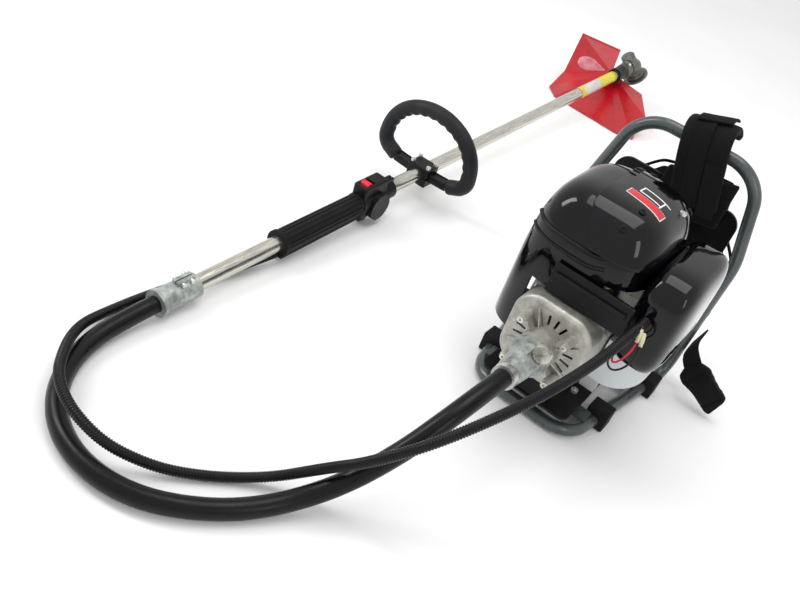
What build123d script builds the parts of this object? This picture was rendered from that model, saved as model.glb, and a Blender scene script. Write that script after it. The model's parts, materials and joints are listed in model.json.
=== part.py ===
# Knapsack brush cutter: a four-stroke engine on a carrying frame drives a long
# straight tool through a flexible hose. Both halves lie on one level surface.
# +Z is up, +Y runs along the tool towards its gear head, millimetres.
# The origin is on the surface, under the middle of the whole object.
from build123d import *
from math import atan, cos, degrees, pi, radians, sin, tan
import os

os.makedirs("parts", exist_ok=True)

# ---- driving dimensions: where the two halves lie ----
pack_x = 174.0  # engine's output axis
pack_y = -579.0  # front face of the fan cover
crank_z = 151.0  # height of the output axis
shaft_x = -269.0  # axis of the tool's tube
joint_y = -832.0  # rear face of the tool's hose coupler
joint_z = 22.0
shaft_rise = 2.74  # degrees that the tool climbs towards its gear head

# ---- driving dimensions: carrying frame ----
tube_od = 19.0
tube_wall = 1.6
top_half = 96.0  # half width of the frame at its top bar
top_z = 374.0
knee_half = 130.0
knee_z = 236.0
back_half = 126.0
seam_z = 78.0
front_half = 83.0
front_y = 42.0
back_y = 322.0
foot_height = 2.0  # rubber under the frame tube
foot_length = 32.0
foot_width = 34.0
foot_top = 32.0
foot_ys = (122.0, 262.0)
rail_thick = 4.0
rail_width = 26.0
rail_ys = (90.0, 228.0)
mount_x = 52.0
mount_r = 13.0
mount_height = 19.0
plate_thick = 4.0
plate_half = 72.0

# ---- driving dimensions: engine ----
cover_size = 118.0
cover_depth = 42.0
cover_wall = 3.0
slot_count = 20
slot_in = 30.0
slot_out = 45.0
slot_width = 3.6
hub_r = 27.0
hub_depth = 36.0
boss_pitch = 66.0
boss_r = 6.5
boss_out = 25.0
case_half = 54.0
case_top = crank_z + cover_size / 2 + 4
case_bottom = 108.0
case_back = 152.0
bore_r = 19.5
fin_count = 7
fin_half = 32.0
fin_pitch = 9.5
sleeve_tip = 96.0  # from the cover's face to the sleeve's small end
ferrule_length = 10.0
crank_r = 7.5
throw = 13.0
drum_r = 22.5
drum_depth = 22.0
tank_x = (-58.0, 126.0)
tank_y = (108.0, 216.0)
tank_low = 26.0  # depth of the part that lies under the starter
tank_height = 73.0
tank_side = 57.0  # where the tall part begins
tank_sweep = 60.0  # large round corner at the lower right
cap_r = 18.0
skin = 2.6  # moulded cover wall

# ---- driving dimensions: tool ----
tool_length = 1630.0  # coupler's rear face to the gear head's centre
tool_tube_od = 26.0
tool_tube_wall = 1.5
coupler_length = 70.0
coupler_r = 19.0
drive_rod_r = 4.0
grip_start = 240.0
grip_end = 436.0
grip_r = 20.0
switch_end = 508.0
loop_y = 634.0
loop_half = 92.0  # centre of the loop's sides
loop_top = 112.0
loop_r = 14.5
loop_low = 2.0  # height of the ends where the arms meet the loop
head_roll = 33.0  # degrees that the gear head is turned round the tube
head_tilt = 30.0  # degrees between the spindle and square to the tube
gear_teeth = (14, 18)
cone_length = 24.0
spindle_r = 6.0
flange_r = 33.0
pilot_r = 12.65

# ---- driving dimensions: hose and conduit ----
hose_d = 26.0
conduit_d = 14.0
cable_z = -(tool_tube_od + conduit_d) / 2 - 0.5  # cable way under the grip
run = 0.05  # radial clearance of a running fit
gap = 0.3  # between pieces that only pass each other

pack = Pos(pack_x, pack_y, 0)
tool = Pos(shaft_x, joint_y, joint_z) * Rot(X=shaft_rise)
front = Plane((0, 0, crank_z), x_dir=(1, 0, 0), z_dir=(0, -1, 0))
written = []


def save(name, shape):
    shape.label = name
    export_step(shape, "parts/" + name + ".step")
    written.append(name)


def rod(start, end, radius):
    axis = Vector(*end) - Vector(*start)
    base = Align.CENTER, Align.CENTER, Align.MIN
    return Plane(Vector(*start), z_dir=axis) * Cylinder(radius, axis.length, align=base)


def ring(start, end, outer, inner):
    return rod(start, end, outer) - rod(start, end, inner)


def taper(start, end, first, last):
    axis = Vector(*end) - Vector(*start)
    base = Align.CENTER, Align.CENTER, Align.MIN
    return Plane(Vector(*start), z_dir=axis) * Cone(first, last, axis.length, align=base)


def block(x, y, z, edge=0.0):
    centre = Pos((x[0] + x[1]) / 2, (y[0] + y[1]) / 2, (z[0] + z[1]) / 2)
    solid = centre * Box(x[1] - x[0], y[1] - y[0], z[1] - z[0])
    return fillet(solid.edges(), edge) if edge else solid


def bent(points, radii, outer, inner=0.0):
    path = FilletPolyline(*points, radius=radii)
    section = Circle(outer) - Circle(inner) if inner else Circle(outer)
    return sweep(Plane(path @ 0, z_dir=path % 0) * section, path=path)


def cord(name, points, diameter):
    """A tube along straight runs joined by arcs as large as the runs allow."""
    places = [Vector(*point) for point in points]
    radii = []
    for before, here, after in zip(places, places[1:], places[2:]):
        turn = radians((here - before).get_angle(after - here))
        shorter = min((here - before).length, (after - here).length)
        radii.append(0.45 * shorter / tan(turn / 2))
    path = FilletPolyline(*points, radius=radii)
    solid = sweep(Plane(path @ 0, z_dir=path % 0) * Circle(diameter / 2), path=path)
    share = solid.volume / (pi * diameter ** 2 / 4 * path.length)
    print(name, "length", round(path.length), "volume share", round(share, 4))
    print(name, "radii", [round(radius) for radius in radii])
    return solid


# ======================= carrying frame =======================
tube_r = tube_od / 2
foot_z = foot_height + tube_r
rail_z = foot_z + tube_r
mount_z = rail_z + rail_thick
plate_z = mount_z + mount_height
engine_z = plate_z + plate_thick


def base_frame():
    side = [(back_half, back_y, seam_z), (back_half, back_y, foot_z), (front_half, front_y, foot_z)]
    other = [(-x, y, z) for x, y, z in reversed(side)]
    return bent(side + other, [40, 46, 46, 40], tube_r, tube_r - tube_wall)


def back_frame():
    side = [(back_half, back_y, seam_z), (knee_half, back_y, knee_z), (top_half, back_y, top_z)]
    other = [(-x, y, z) for x, y, z in reversed(side)]
    return bent(side + other, [140, 62, 62, 140], tube_r, tube_r - tube_wall)


def leg_x(y):
    share = (y - front_y) / (back_y - front_y)
    return front_half + share * (back_half - front_half)


def frame_rails():
    rails = []
    for y in rail_ys:
        half = leg_x(y) - 2
        rail = block((-half, half), (y - rail_width / 2, y + rail_width / 2), (rail_z, mount_z))
        for x in (-mount_x, mount_x):
            rail -= rod((x, y, rail_z - 1), (x, y, mount_z + 1), 3.3)
        rails.append(rail)
    return Compound(rails)


def frame_feet():
    """Rubber blocks clamped round the frame's tube, with flat soles and a bolt eye."""
    feet = []
    lean = degrees(atan((back_half - front_half) / (back_y - front_y)))
    for y in foot_ys:
        for side in (-1, 1):
            x = side * leg_x(y)
            x_span = (x - foot_width / 2, x + foot_width / 2)
            shoe = block(x_span, (y - foot_length / 2, y + foot_length / 2), (0, foot_top), 2.5)
            tube = Pos(x, y, foot_z) * Rot(Z=-side * lean) * Rot(X=90) * Cylinder(tube_r, 90)
            feet.append(shoe - tube)
    return Compound(feet)


def rubber_mounts():
    mounts = []
    for y in rail_ys:
        for x in (-mount_x, mount_x):
            mount = rod((x, y, mount_z), (x, y, plate_z), mount_r)
            neck = ring((x, y, mount_z + 7), (x, y, mount_z + 12), mount_r + 1, mount_r - 2.5)
            mounts.append(mount - neck - rod((x, y, mount_z), (x, y, plate_z), 3.0))
    return Compound(mounts)


def mount_bolts():
    bolts = []
    for y in rail_ys:
        for x in (-mount_x, mount_x):
            stud = rod((x, y, rail_z - 6), (x, y, engine_z + 6), 3.0)
            head = Pos(x, y, engine_z + 3) * extrude(RegularPolygon(5.5, 6), 5, both=False)
            head = Pos(0, 0, -3) * head
            nut = Pos(x, y, rail_z - 5) * extrude(RegularPolygon(5.5, 6), 5)
            bolts.append(stud + head + nut)
    return bolts


def engine_plate():
    y = (22.0, 256.0)
    plate = block((-plate_half, plate_half), y, (plate_z, engine_z))
    plate = fillet(plate.edges().filter_by(Axis.Z), 12)
    for hole_y in rail_ys:
        for x in (-mount_x, mount_x):
            plate -= rod((x, hole_y, plate_z - 1), (x, hole_y, engine_z + 1), 3.3)
    for x in (-24, 0, 24):
        plate -= rod((x, 162, plate_z - 1), (x, 162, engine_z + 1), 9)
    return plate


def engine_bracket():
    """Folded steel bracket that stands on the plate and carries the fan cover."""
    upright = block((-34, 34), (24, 28), (engine_z, crank_z - cover_size / 2))
    shelf = block((-34, 34), (28, 50), (engine_z, engine_z + 4))
    bracket = upright + shelf
    for x in (-20, 0, 20):
        bracket -= rod((x, 20, engine_z + 26), (x, 32, engine_z + 26), 3.2)
    return bracket


# ======================= engine castings =======================
def on_front(shape):
    return front * shape


def cap_cylinder(radius, low, high, x=0.0, y=0.0):
    base = Align.CENTER, Align.CENTER, Align.MIN
    return Pos(x, y, low) * Cylinder(radius, high - low, align=base)


boss_places = [(sx * boss_pitch / 2, sy * boss_pitch / 2) for sx in (-1, 1) for sy in (-1, 1)]


def fan_cover():
    outline = RectangleRounded(cover_size, cover_size, 34)
    cover = Pos(0, 0, -cover_depth) * extrude(outline, cover_depth)
    cover = fillet(cover.faces().sort_by(Axis.Z)[-1].edges(), 7)
    inner = cover_size - 2 * cover_wall
    hollow = Pos(0, 0, -cover_depth) * extrude(RectangleRounded(inner, inner, 31), cover_depth - cover_wall)
    cover -= hollow
    cover += cap_cylinder(hub_r, -cover_wall, hub_depth)
    cover -= cap_cylinder(hub_r - 2.5, -cover_wall - 1, hub_depth - 9)
    cover -= cap_cylinder(11, hub_depth - 10, hub_depth + 1)
    for x, y in boss_places:
        web = Pos(x * 0.62, y * 0.62, 0) * Rot(Z=45 if x * y > 0 else -45)
        cover += web * Pos(0, 0, 9) * Box(30, 3, 18)
        cover += cap_cylinder(boss_r, -cover_wall, boss_out, x, y)
    cover -= cap_cylinder(hub_r - 2.5, -cover_wall - 1, hub_depth - 9)
    for x, y in boss_places:
        cover -= cap_cylinder(2.6, 4, boss_out + 1, x, y)
    for i in range(slot_count):
        angle = (i + 0.5) * 360 / slot_count
        middle = (slot_in + slot_out) / 2
        slot = Rot(Z=angle) * Pos(middle, 0, -cover_wall / 2)
        long = slot_out - slot_in
        if abs((angle % 90) - 45) > 12:
            cover -= slot * Box(long, slot_width, cover_wall * 4)
    return on_front(cover)


def cover_bolts():
    bolts = []
    for x, y in boss_places:
        head = cap_cylinder(4.6, boss_out, boss_out + 5, x, y)
        socket = Pos(x, y, boss_out + 2.5) * extrude(RegularPolygon(2.3, 6), 4)
        shank = cap_cylinder(2.6, 6, boss_out, x, y)
        bolts.append(on_front(head + shank - socket))
    return bolts


def output_sleeve():
    """Collar and tapered casting that hold the hose against the clutch hub."""
    collar = cap_cylinder(hub_r + 1.5, hub_depth, hub_depth + 8)
    base = Align.CENTER, Align.CENTER, Align.MIN
    cone = Pos(0, 0, hub_depth + 8) * Cone(23, 17.5, sleeve_tip - hub_depth - 8, align=base)
    sleeve = collar + cone
    sleeve += Pos(15, 17, hub_depth + 4) * Box(16, 14, 8)
    sleeve += Pos(0, -19, hub_depth + 34) * Box(12, 14, 30)
    sleeve -= cap_cylinder(9, hub_depth - 1, sleeve_tip + 1)
    sleeve -= cap_cylinder(5, hub_depth - 2, hub_depth + 9, 17, 20)
    sleeve -= cap_cylinder(13, hub_depth + 8, hub_depth + 30, 17, 20)
    return on_front(sleeve)


def clamp_screw():
    """Large slotted screw that locks the sleeve's collar to the hub."""
    seat = cap_cylinder(13, hub_depth + 8, hub_depth + 12, 17, 20)
    body = cap_cylinder(12, hub_depth + 12, hub_depth + 15, 17, 20)
    shank = cap_cylinder(4.9, hub_depth, hub_depth + 8, 17, 20)
    slot = Pos(17, 20, hub_depth + 14.5) * Rot(Z=35) * Box(20, 2.6, 3)
    return on_front(seat + body + shank - slot)


def hose_ferrule():
    return on_front(
        cap_cylinder(17, sleeve_tip, sleeve_tip + ferrule_length)
        - cap_cylinder(9.5, sleeve_tip - 1, sleeve_tip + ferrule_length + 1)
    )


def crankcase():
    case = block((-case_half, case_half), (cover_depth, case_back), (case_bottom, case_top))
    case = fillet(case.edges().filter_by(Axis.Y), 16)
    case -= rod((0, cover_depth + 17, crank_z), (0, case_back - 12, crank_z), 42)
    case -= rod((0, cover_depth + 5, crank_z), (0, cover_depth + 20, crank_z), 17.5)
    case -= rod((0, cover_depth - 1, crank_z), (0, case_back + 1, crank_z), 12)
    case -= rod((0, case_back - 13, crank_z), (0, case_back + 1, crank_z), 17.5)
    case -= rod((0, cylinder_y, crank_z), (0, cylinder_y, case_top + 1), bore_r + 4)
    return case


cylinder_y = 100.0


def main_bearings():
    outer = 17.5
    inner = crank_r + run
    first = ring((0, cover_depth + 6, crank_z), (0, cover_depth + 17, crank_z), outer, inner)
    last = ring((0, case_back - 12, crank_z), (0, case_back - 1, crank_z), outer, inner)
    return [first, last]


def crankshaft():
    shaft = rod((0, 8, crank_z), (0, 84, crank_z), crank_r)
    shaft += rod((0, 116, crank_z), (0, case_back + 38, crank_z), crank_r)
    pin_z = crank_z + throw
    shaft += rod((0, 94, pin_z), (0, 106, pin_z), 7)
    for low, high in ((84, 94), (106, 116)):
        web = rod((0, low, crank_z), (0, high, crank_z), 30)
        web -= block((-40, -13), (low - 1, high + 1), (crank_z + 2, crank_z + 40))
        web -= block((13, 40), (low - 1, high + 1), (crank_z + 2, crank_z + 40))
        shaft += web
    return shaft


def cylinder():
    low = case_top
    high = case_top + 8 + fin_count * fin_pitch
    barrel = rod((0, cylinder_y, low), (0, cylinder_y, high + 14), bore_r + 6)
    barrel += rod((0, cylinder_y, low - 20), (0, cylinder_y, low), bore_r + 4 - run)
    barrel += block((-30, 30), (cylinder_y - 30, cylinder_y + 30), (low, low + 5))
    for i in range(fin_count):
        z = low + 10 + i * fin_pitch
        fin = block((-fin_half, fin_half), (cylinder_y - fin_half, cylinder_y + fin_half), (z, z + 2.2))
        barrel += fillet(fin.edges().filter_by(Axis.Z), 8)
    barrel += block((-26, 26), (cylinder_y - 26, cylinder_y + 26), (high, high + 16), 4)
    barrel -= rod((0, cylinder_y, low - 21), (0, cylinder_y, high + 4), bore_r)
    return barrel


def piston():
    top = case_top + 8 + fin_count * fin_pitch - 2
    crown = rod((0, cylinder_y, top - 28), (0, cylinder_y, top), bore_r - run)
    crown -= rod((0, cylinder_y, top - 29), (0, cylinder_y, top - 4), bore_r - 3)
    for z in (top - 6, top - 10):
        crown -= ring((0, cylinder_y, z), (0, cylinder_y, z + 1.4), bore_r + 1, bore_r - 1.4)
    pin = rod((-bore_r + 2, cylinder_y, top - 17), (bore_r - 2, cylinder_y, top - 17), 4.5)
    return crown + pin


def flywheel_fan():
    """Magnet wheel with radial blades, on the crankshaft's front taper."""
    wheel = cap_cylinder(46, -34, -28)
    wheel += cap_cylinder(14, -34, -14)
    for i in range(16):
        blade = Rot(Z=i * 22.5) * Pos(32, 0, -20) * Rot(Z=18)
        wheel += blade * Box(24, 2.4, 18)
    wheel -= cap_cylinder(crank_r, -36, -7)
    return on_front(wheel)


def clutch_shoes():
    """Two centrifugal shoes on a carrier that turns with the crankshaft."""
    carrier = cap_cylinder(9, 3, 8)
    stem = cap_cylinder(5.5, -8, 3)
    shoes = cap_cylinder(drum_r - 3.4, 3, 19) - cap_cylinder(11, 2, 20)
    shoes -= Pos(0, 0, 11) * Box(60, 3, 20)
    bridge = Pos(0, 0, 5.5) * Box(5, 2 * drum_r - 10, 5)
    return on_front(carrier + stem + shoes + bridge)


def clutch_drum():
    drum = cap_cylinder(drum_r, 1, 1 + drum_depth)
    drum -= cap_cylinder(drum_r - 2, 0, drum_depth - 2)
    drum += cap_cylinder(drive_rod_r, drum_depth, sleeve_tip - 10)
    drum += cap_cylinder(6.5, drum_depth, hub_depth - 9 - gap)
    return on_front(drum)


def drum_bearing():
    return on_front(
        cap_cylinder(11, hub_depth - 9, hub_depth)
        - cap_cylinder(drive_rod_r + run, hub_depth - 10, hub_depth + 1)
    )


def engine_bearings():
    return Compound(main_bearings() + [drum_bearing()])


def starter_case():
    """Recoil starter on the back of the crankcase, with its rope outlet at the side."""
    y = (case_back, case_back + 46)
    case = rod((0, y[0], crank_z), (0, y[1], crank_z), 52)
    case = fillet(case.faces().sort_by(Axis.Y)[-1].edges(), 8)
    case -= rod((0, y[0] - 1, crank_z), (0, y[1] - 4, crank_z), 48)
    outlet = rod((40, y[0] + 28, crank_z + 24), (66, y[0] + 28, crank_z + 24), 9)
    case += outlet - rod((0, y[0], crank_z), (0, y[1] - 4, crank_z), 48)
    case -= rod((30, y[0] + 28, crank_z + 24), (70, y[0] + 28, crank_z + 24), 3.5)
    for i in range(8):
        vent = Pos(0, y[1] - 2, crank_z) * Rot(Y=i * 45) * Pos(34, 0, 0) * Box(16, 12, 5)
        case -= vent
    return case


def starter_pulley():
    y = case_back + 20
    pulley = rod((0, y, crank_z), (0, y + 16, crank_z), 40)
    pulley -= ring((0, y + 5, crank_z), (0, y + 11, crank_z), 41, 32)
    pulley -= rod((0, y - 1, crank_z), (0, y + 17, crank_z), crank_r + gap)
    return pulley


def starter_grip():
    y = case_back + 28
    z = crank_z + 24
    grip = block((66.5, 82), (y - 30, y + 30), (z - 9, z + 9), 6)
    neck = taper((66.4, y, z), (70, y, z), 6, 8)
    rope = rod((44, y, z), (70, y, z), 1.7)
    return grip + neck + rope


# ======================= fuel, air and exhaust =======================
tank_z = engine_z + 24
tank_wall = 2.5


def tank_profile(inset):
    """L-shaped outline, low under the starter and tall beside the crankcase."""
    low, high = tank_z + inset, tank_z + tank_height - inset
    left, right = tank_x[0] + inset, tank_x[1] - inset
    side, step = tank_side + inset, tank_z + tank_low - inset
    corners = [(left, low), (right, low), (right, high), (side, high), (side, step), (left, step)]
    profile = make_face(Polyline(*corners, corners[0]))
    sweep = profile.vertices().sort_by_distance((right, low, 0))[0]
    outer = [v for v in profile.vertices() if v is not sweep and v.X != side]
    profile = fillet(outer, 10 - inset)
    r = min(tank_sweep, tank_height - 11) - inset
    corner = Pos(right - r / 2 + 1, low + r / 2 - 1) * Rectangle(r + 2, r + 2)
    return profile - (corner - Pos(right - r, low + r) * Circle(r))


def fuel_tank():
    skin_y = (tank_y[0] + tank_wall, tank_y[1] - tank_wall)
    tank = Pos(0, tank_y[0], 0) * extrude(Plane.XZ * tank_profile(0), -(tank_y[1] - tank_y[0]))
    inside = Pos(0, skin_y[0], 0) * extrude(Plane.XZ * tank_profile(tank_wall), -(skin_y[1] - skin_y[0]))
    top = tank_z + tank_height
    tank += rod((cap_x, cap_y, top - 4), (cap_x, cap_y, top + 12), cap_r - 5)
    for x in (tank_x[0] + 22, tank_x[1] - 78):
        for y in (tank_y[1] - 102, tank_y[1] - 30):
            tank += block((x, x + 24), (y, y + 14), (engine_z, tank_z + 2))
    tank -= inside
    return tank - rod((cap_x, cap_y, top - 8), (cap_x, cap_y, top + 13), cap_r - 8)


cap_x = tank_x[1] - 22
cap_y = tank_y[1] - 34
cap_z = tank_z + tank_height + 12


def fuel_cap():
    cap = rod((cap_x, cap_y, cap_z - 11.5), (cap_x, cap_y, cap_z + 6), cap_r)
    cap -= rod((cap_x, cap_y, cap_z - 14), (cap_x, cap_y, cap_z + gap), cap_r - 5 + gap)
    for i in range(18):
        angle = radians(i * 20)
        x = cap_x + cap_r * cos(angle)
        y = cap_y + cap_r * sin(angle)
        cap -= rod((x, y, cap_z - 14), (x, y, cap_z + 7), 1.6)
    return cap


carb_z = case_top + 25


def carburettor():
    body = block((40, 74), (82, 118), (carb_z - 17, carb_z + 17), 3)
    body += rod((fin_half + gap, 100, carb_z), (42, 100, carb_z), 12)
    body += rod((74, 100, carb_z), (82, 100, carb_z), 15)
    body -= rod((35, 100, carb_z), (83, 100, carb_z), 8)
    return body - rod((57, 80, carb_z), (57, 83, carb_z), 3)


def air_cleaner():
    """Filter box with a snap cover on the carburettor's mouth."""
    box = block((82, 127), (50, 214), (197, 298), 9)
    box -= block((85, 124), (53, 211), (200, 295))
    box -= rod((80, 100, carb_z), (87, 100, carb_z), 8)
    for i in range(6):
        box -= block((120, 128), (84 + i * 15, 90 + i * 15), (212, 236))
    return box


def air_filter():
    return block((96, 112), (60, 150), (201, 290), 2)


choke_x = 58.0
choke_z = carb_z


def choke_lever():
    lever = rod((choke_x, 118 + gap, choke_z), (choke_x, 126, choke_z), 5)
    return lever + block((choke_x - 3.5, choke_x + 3.5), (121, 124), (choke_z, choke_z + 20))


def muffler():
    can = block((-98, -40), (66, 136), (224, 296), 8)
    can -= block((-95, -43), (69, 133), (227, 293), 6)
    can += rod((-70, 136, 240), (-70, 150, 240), 8) - rod((-70, 130, 240), (-70, 151, 240), 6)
    return can


# ======================= moulded covers =======================
def rounded_left(solid, radius):
    """Rounds the upper and the upright edges of a block's left side."""
    left = solid.faces().sort_by(Axis.X)[0]
    return fillet(left.edges().group_by(Axis.Z)[1] + left.edges().group_by(Axis.Z)[-1], radius)


def left_shroud():
    """Tall gloss cover over the exhaust side."""
    x = (-107.0, -36.0)
    y = (cover_depth + 1, 238.0)
    z = (120.0, 348.0)
    outer = block(x, y, z)
    inside = block((x[0] + skin, x[1] + 1), (y[0] + skin, y[1] - skin), (z[0] - 1, z[1] - skin))
    cover = rounded_left(outer, 28) - rounded_left(inside, 28 - skin)
    return cover - block((-case_half - 1, 0), (40, case_back), (z[0] - 1, case_top + 1))


def top_shroud():
    """Raised centre cover with the badge seat and the vents beside it."""
    x = (-36.0 + gap, 72.0)
    profile = make_face(
        Polyline(
            (26, 262), (70, 322), (118, 340), (206, 336), (236, 300), (236, 268), (26, 258), (26, 262)
        )
    )
    solid = Pos(x[0], 0, 0) * extrude(Plane.YZ * profile, x[1] - x[0])
    solid = fillet(solid.edges().filter_by(Axis.X).group_by(Axis.Z)[-1], 12)
    hollow_line = [(29, 250), (72, 319), (119, 337), (204, 333), (233, 299), (233, 250)]
    inner = make_face(Polyline(*hollow_line, hollow_line[0]))
    hollow = Pos(x[0] + skin, 0, 0) * extrude(Plane.YZ * inner, x[1] - x[0] - 2 * skin)
    solid -= hollow
    for i in range(4):
        y = 196 - i * 17
        solid -= Pos(x[0] + 8, y, 336) * Rot(Z=25) * Box(12, 5, 30)
    return solid


def right_shroud():
    """Front cover over the intake side, from the tank up to the air cleaner."""
    x = (57.0, 130.0)
    y = (cover_depth + 1, 148.0)
    z = (tank_z + tank_height + 3, 194.0)
    outer = block(x, y, z)
    outer = fillet(outer.edges().filter_by(Axis.Z).group_by(Axis.X)[-1], 24)
    inside = block((x[0] - 1, x[1] - skin), (y[0] + skin, y[1] - skin), (z[0] + skin, z[1] - skin))
    return outer - fillet(inside.edges().filter_by(Axis.Z).group_by(Axis.X)[-1], 24 - skin)


def front_shroud():
    """Panel that closes the space between the fan cover and the centre cover."""
    panel = block((-36 + gap, 80), (18, 22), (crank_z + cover_size / 2 + 2, 258 - gap), 1.2)
    return panel + block((-30, 74), (14, 19), (240, 246), 1)


def shroud_screws():
    screws = []
    for x, y in ((0, 104), (52, 150)):
        screws.append(rod((x, y, 339.5), (x, y, 343), 5))
    return screws


def engine_bolts():
    return Compound(mount_bolts() + cover_bolts() + shroud_screws())


# ======================= back pad and straps =======================
def back_board():
    y = (back_y + tube_r + gap, back_y + tube_r + 5)
    board = block((-104, 104), y, (96, 300))
    board = fillet(board.edges().filter_by(Axis.Y), 24)
    board -= block((-60, 60), (y[0] - 1, y[1] + 1), (150, 190))
    return board


pad_y = back_y + tube_r + 5


def back_cushion():
    corners = [
        (-128, 80), (128, 80), (136, 130), (124, 225), (78, 280),
        (68, 336), (-44, 318), (-124, 225), (-136, 130),
    ]
    pad = extrude(Plane.XZ * make_face(Polyline(*corners, corners[0])), -26)
    return Pos(0, pad_y + gap, 0) * pad


def strap_bundle():
    """Shoulder straps folded over the top bar, as one soft body."""
    low = top_z + tube_r + gap
    upper = block((-40, 44), (back_y - 16, pad_y + 24), (low, low + 34), 6)
    hang = block((-30, 50), (back_y - 30, back_y - tube_r - gap), (262, low + 10), 5)
    return upper + hang


def waist_pad():
    """End of the waist belt, wrapped round the frame and hanging to the ground."""
    outline = Polyline(
        (140, 60), (156, 30), (219, 4), (232, 44), (154, 86), (140, 106), (140, 60)
    )
    pad = Pos(0, 307, 0) * extrude(Plane.XZ * make_face(outline), 22)
    strap = block((142, 146), (300, pad_y + gap + 20), (64, 104))
    return pad + strap


# ======================= stop wires =======================
wire_r = 1.4
wire_routes = (
    [(96, 22, 243), (104, 6, 226), (100, -8, 205), (90, -6, 190), (84, 8, 194), (86, 18, 214)],
    [(101, 22, 240), (112, 4, 220), (108, -10, 198), (94, -10, 182), (80, 6, 184), (80, 17.5, 206)],
)


def stop_wires():
    """Two short leads looped between the conduit's end and the engine."""
    return Compound([wire(points) for points in wire_routes])


def wire(points):
    places = [Vector(*point) for point in points]
    radii = []
    for before, here, after in zip(places, places[1:], places[2:]):
        turn = radians((here - before).get_angle(after - here))
        shorter = min((here - before).length, (after - here).length)
        radii.append(0.42 * shorter / tan(turn / 2))
    return bent(points, radii, wire_r)


# ======================= hose and conduit routes =======================
hose_route = [
    (174, -685, 151), (171, -733, 148), (162, -780, 130), (144, -829, 92), (113, -876, 44),
    (79, -927, 18), (48, -976, 13), (11, -1017, 13), (-35, -1051, 14), (-89, -1067, 14),
    (-145, -1064, 14), (-197, -1041, 13), (-238, -1001, 13), (-264, -946, 14), (-270, -888, 18),
    (-269, -832, 22),
]
conduit_route = [
    (270, -529, 243), (266, -570, 236), (259, -631, 222), (244, -702, 207), (226, -761, 193),
    (207, -810, 180), (188, -845, 164), (167, -867, 143), (145, -879, 119), (121, -885, 91),
    (95, -890, 65), (69, -898, 39), (43, -914, 18), (14, -940, 8), (-15, -970, 7),
    (-49, -1001, 10), (-79, -1024, 20), (-106, -1043, 35), (-138, -1050, 47), (-173, -1047, 54),
    (-209, -1030, 54), (-240, -1000, 46), (-269, -967, 34), (-293, -930, 19), (-304, -887, 8),
    (-304, -838, 7), (-300, -788, 7), (-294, -738, 7), (-284, -690, 7), (-275, -641, 9),
    (-269, -592.4, 12.6),
]


# ======================= tool =======================
def coupler():
    """Split casting that joins the hose to the tube, with two clamp screws."""
    body = rod((0, 0, 0), (0, coupler_length, 0), coupler_r)
    body += rod((0, 0, 0), (0, 8, 0), coupler_r + 1.5)
    body += Pos(0, 48, coupler_r) * Box(14, 30, 10)
    body -= rod((0, 26, 0), (0, coupler_length + 1, 0), tool_tube_od / 2)
    body -= rod((0, -1, 0), (0, 30, 0), 9)
    body -= Pos(0, 52, coupler_r) * Box(2, 40, 30)
    return body


def coupler_screws():
    screws = []
    for y in (40, 56):
        for side in (-1, 1):
            z = coupler_r + 1
            screws.append(rod((side * 7, y, z), (side * 11, y, z), 3.6))
    return screws


tube_start = 26.0
tube_end = tool_length - 38.0


def tool_tube():
    outer = tool_tube_od / 2
    return ring((0, tube_start, 0), (0, tube_end, 0), outer, outer - tool_tube_wall)


bush_ys = (120, 420, 720, 1020, 1320, 1560)


def tube_bushes():
    inner = tool_tube_od / 2 - tool_tube_wall
    return Compound(
        [ring((0, y, 0), (0, y + 24, 0), inner, drive_rod_r + run) for y in bush_ys]
    )


pinion_share, wheel_share = gear_teeth
pinion_angle = atan(sin(radians(60)) / (wheel_share / pinion_share + cos(radians(60))))
wheel_angle = radians(60) - pinion_angle


def drive_rod():
    """Long steel rod from the hose's core to the pinion."""
    tip = tool_length - cone_length * cos(pinion_angle) - 2
    rod_body = rod((0, 34, 0), (0, tip, 0), drive_rod_r)
    near = cone_length * cos(pinion_angle)
    far = 14 * cos(pinion_angle)
    large = cone_length * sin(pinion_angle) - gap
    small = 14 * sin(pinion_angle) - gap
    pinion = taper((0, tool_length - near, 0), (0, tool_length - far, 0), large, small)
    for i in range(pinion_share):
        cut = Pos(0, tool_length - (near + far) / 2, 0) * Rot(Y=i * 360 / pinion_share)
        tooth_gap = Pos(0, 0, (large + small) / 2 + 1.0) * Box(1.8, 20, 3.4)
        pinion -= cut * Rot(X=-degrees(pinion_angle)) * tooth_gap
    collar = rod((0, tool_length - near - 3, 0), (0, tool_length - near, 0), 6)
    return rod_body + collar + pinion


head = Pos(0, tool_length, 0) * Rot(Y=-head_roll) * Rot(X=head_tilt)


def up(radius, low, high):
    return cap_cylinder(radius, low, high)


def gear_case():
    neck = rod((0, tool_length - 64, 0), (0, tool_length - 14, 0), 19.5)
    neck += rod((0, tool_length - 34, 0), (0, tool_length - 8, 0), 22)
    body = Sphere(25) + up(18, 0, 37) + up(21.5, -24, 0)
    lip = up(24, -28, -20)
    case = neck + head * (body + lip)
    case += Pos(0, tool_length - 54, 20) * Box(13, 18, 9)
    case -= rod((0, tool_length - 65, 0), (0, tool_length - 37, 0), tool_tube_od / 2)
    case -= rod((0, tool_length - 38, 0), (0, tool_length - 24, 0), 11)
    case -= rod((0, tool_length - 26, 0), (0, tool_length, 0), 12)
    case -= head * up(14.6, -16, 22)
    case -= head * up(14, -29, -15)
    case -= head * up(11, 21, 29)
    return case


def head_bearings():
    lower = head * (up(14, -24, -16) - up(spindle_r + run, -25, -15))
    upper = head * (up(11, 22, 29) - up(drive_rod_r + run, 21, 30))
    back = ring((0, tool_length - 36, 0), (0, tool_length - 28, 0), 11, drive_rod_r + run)
    return Compound([lower, upper, back])


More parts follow.
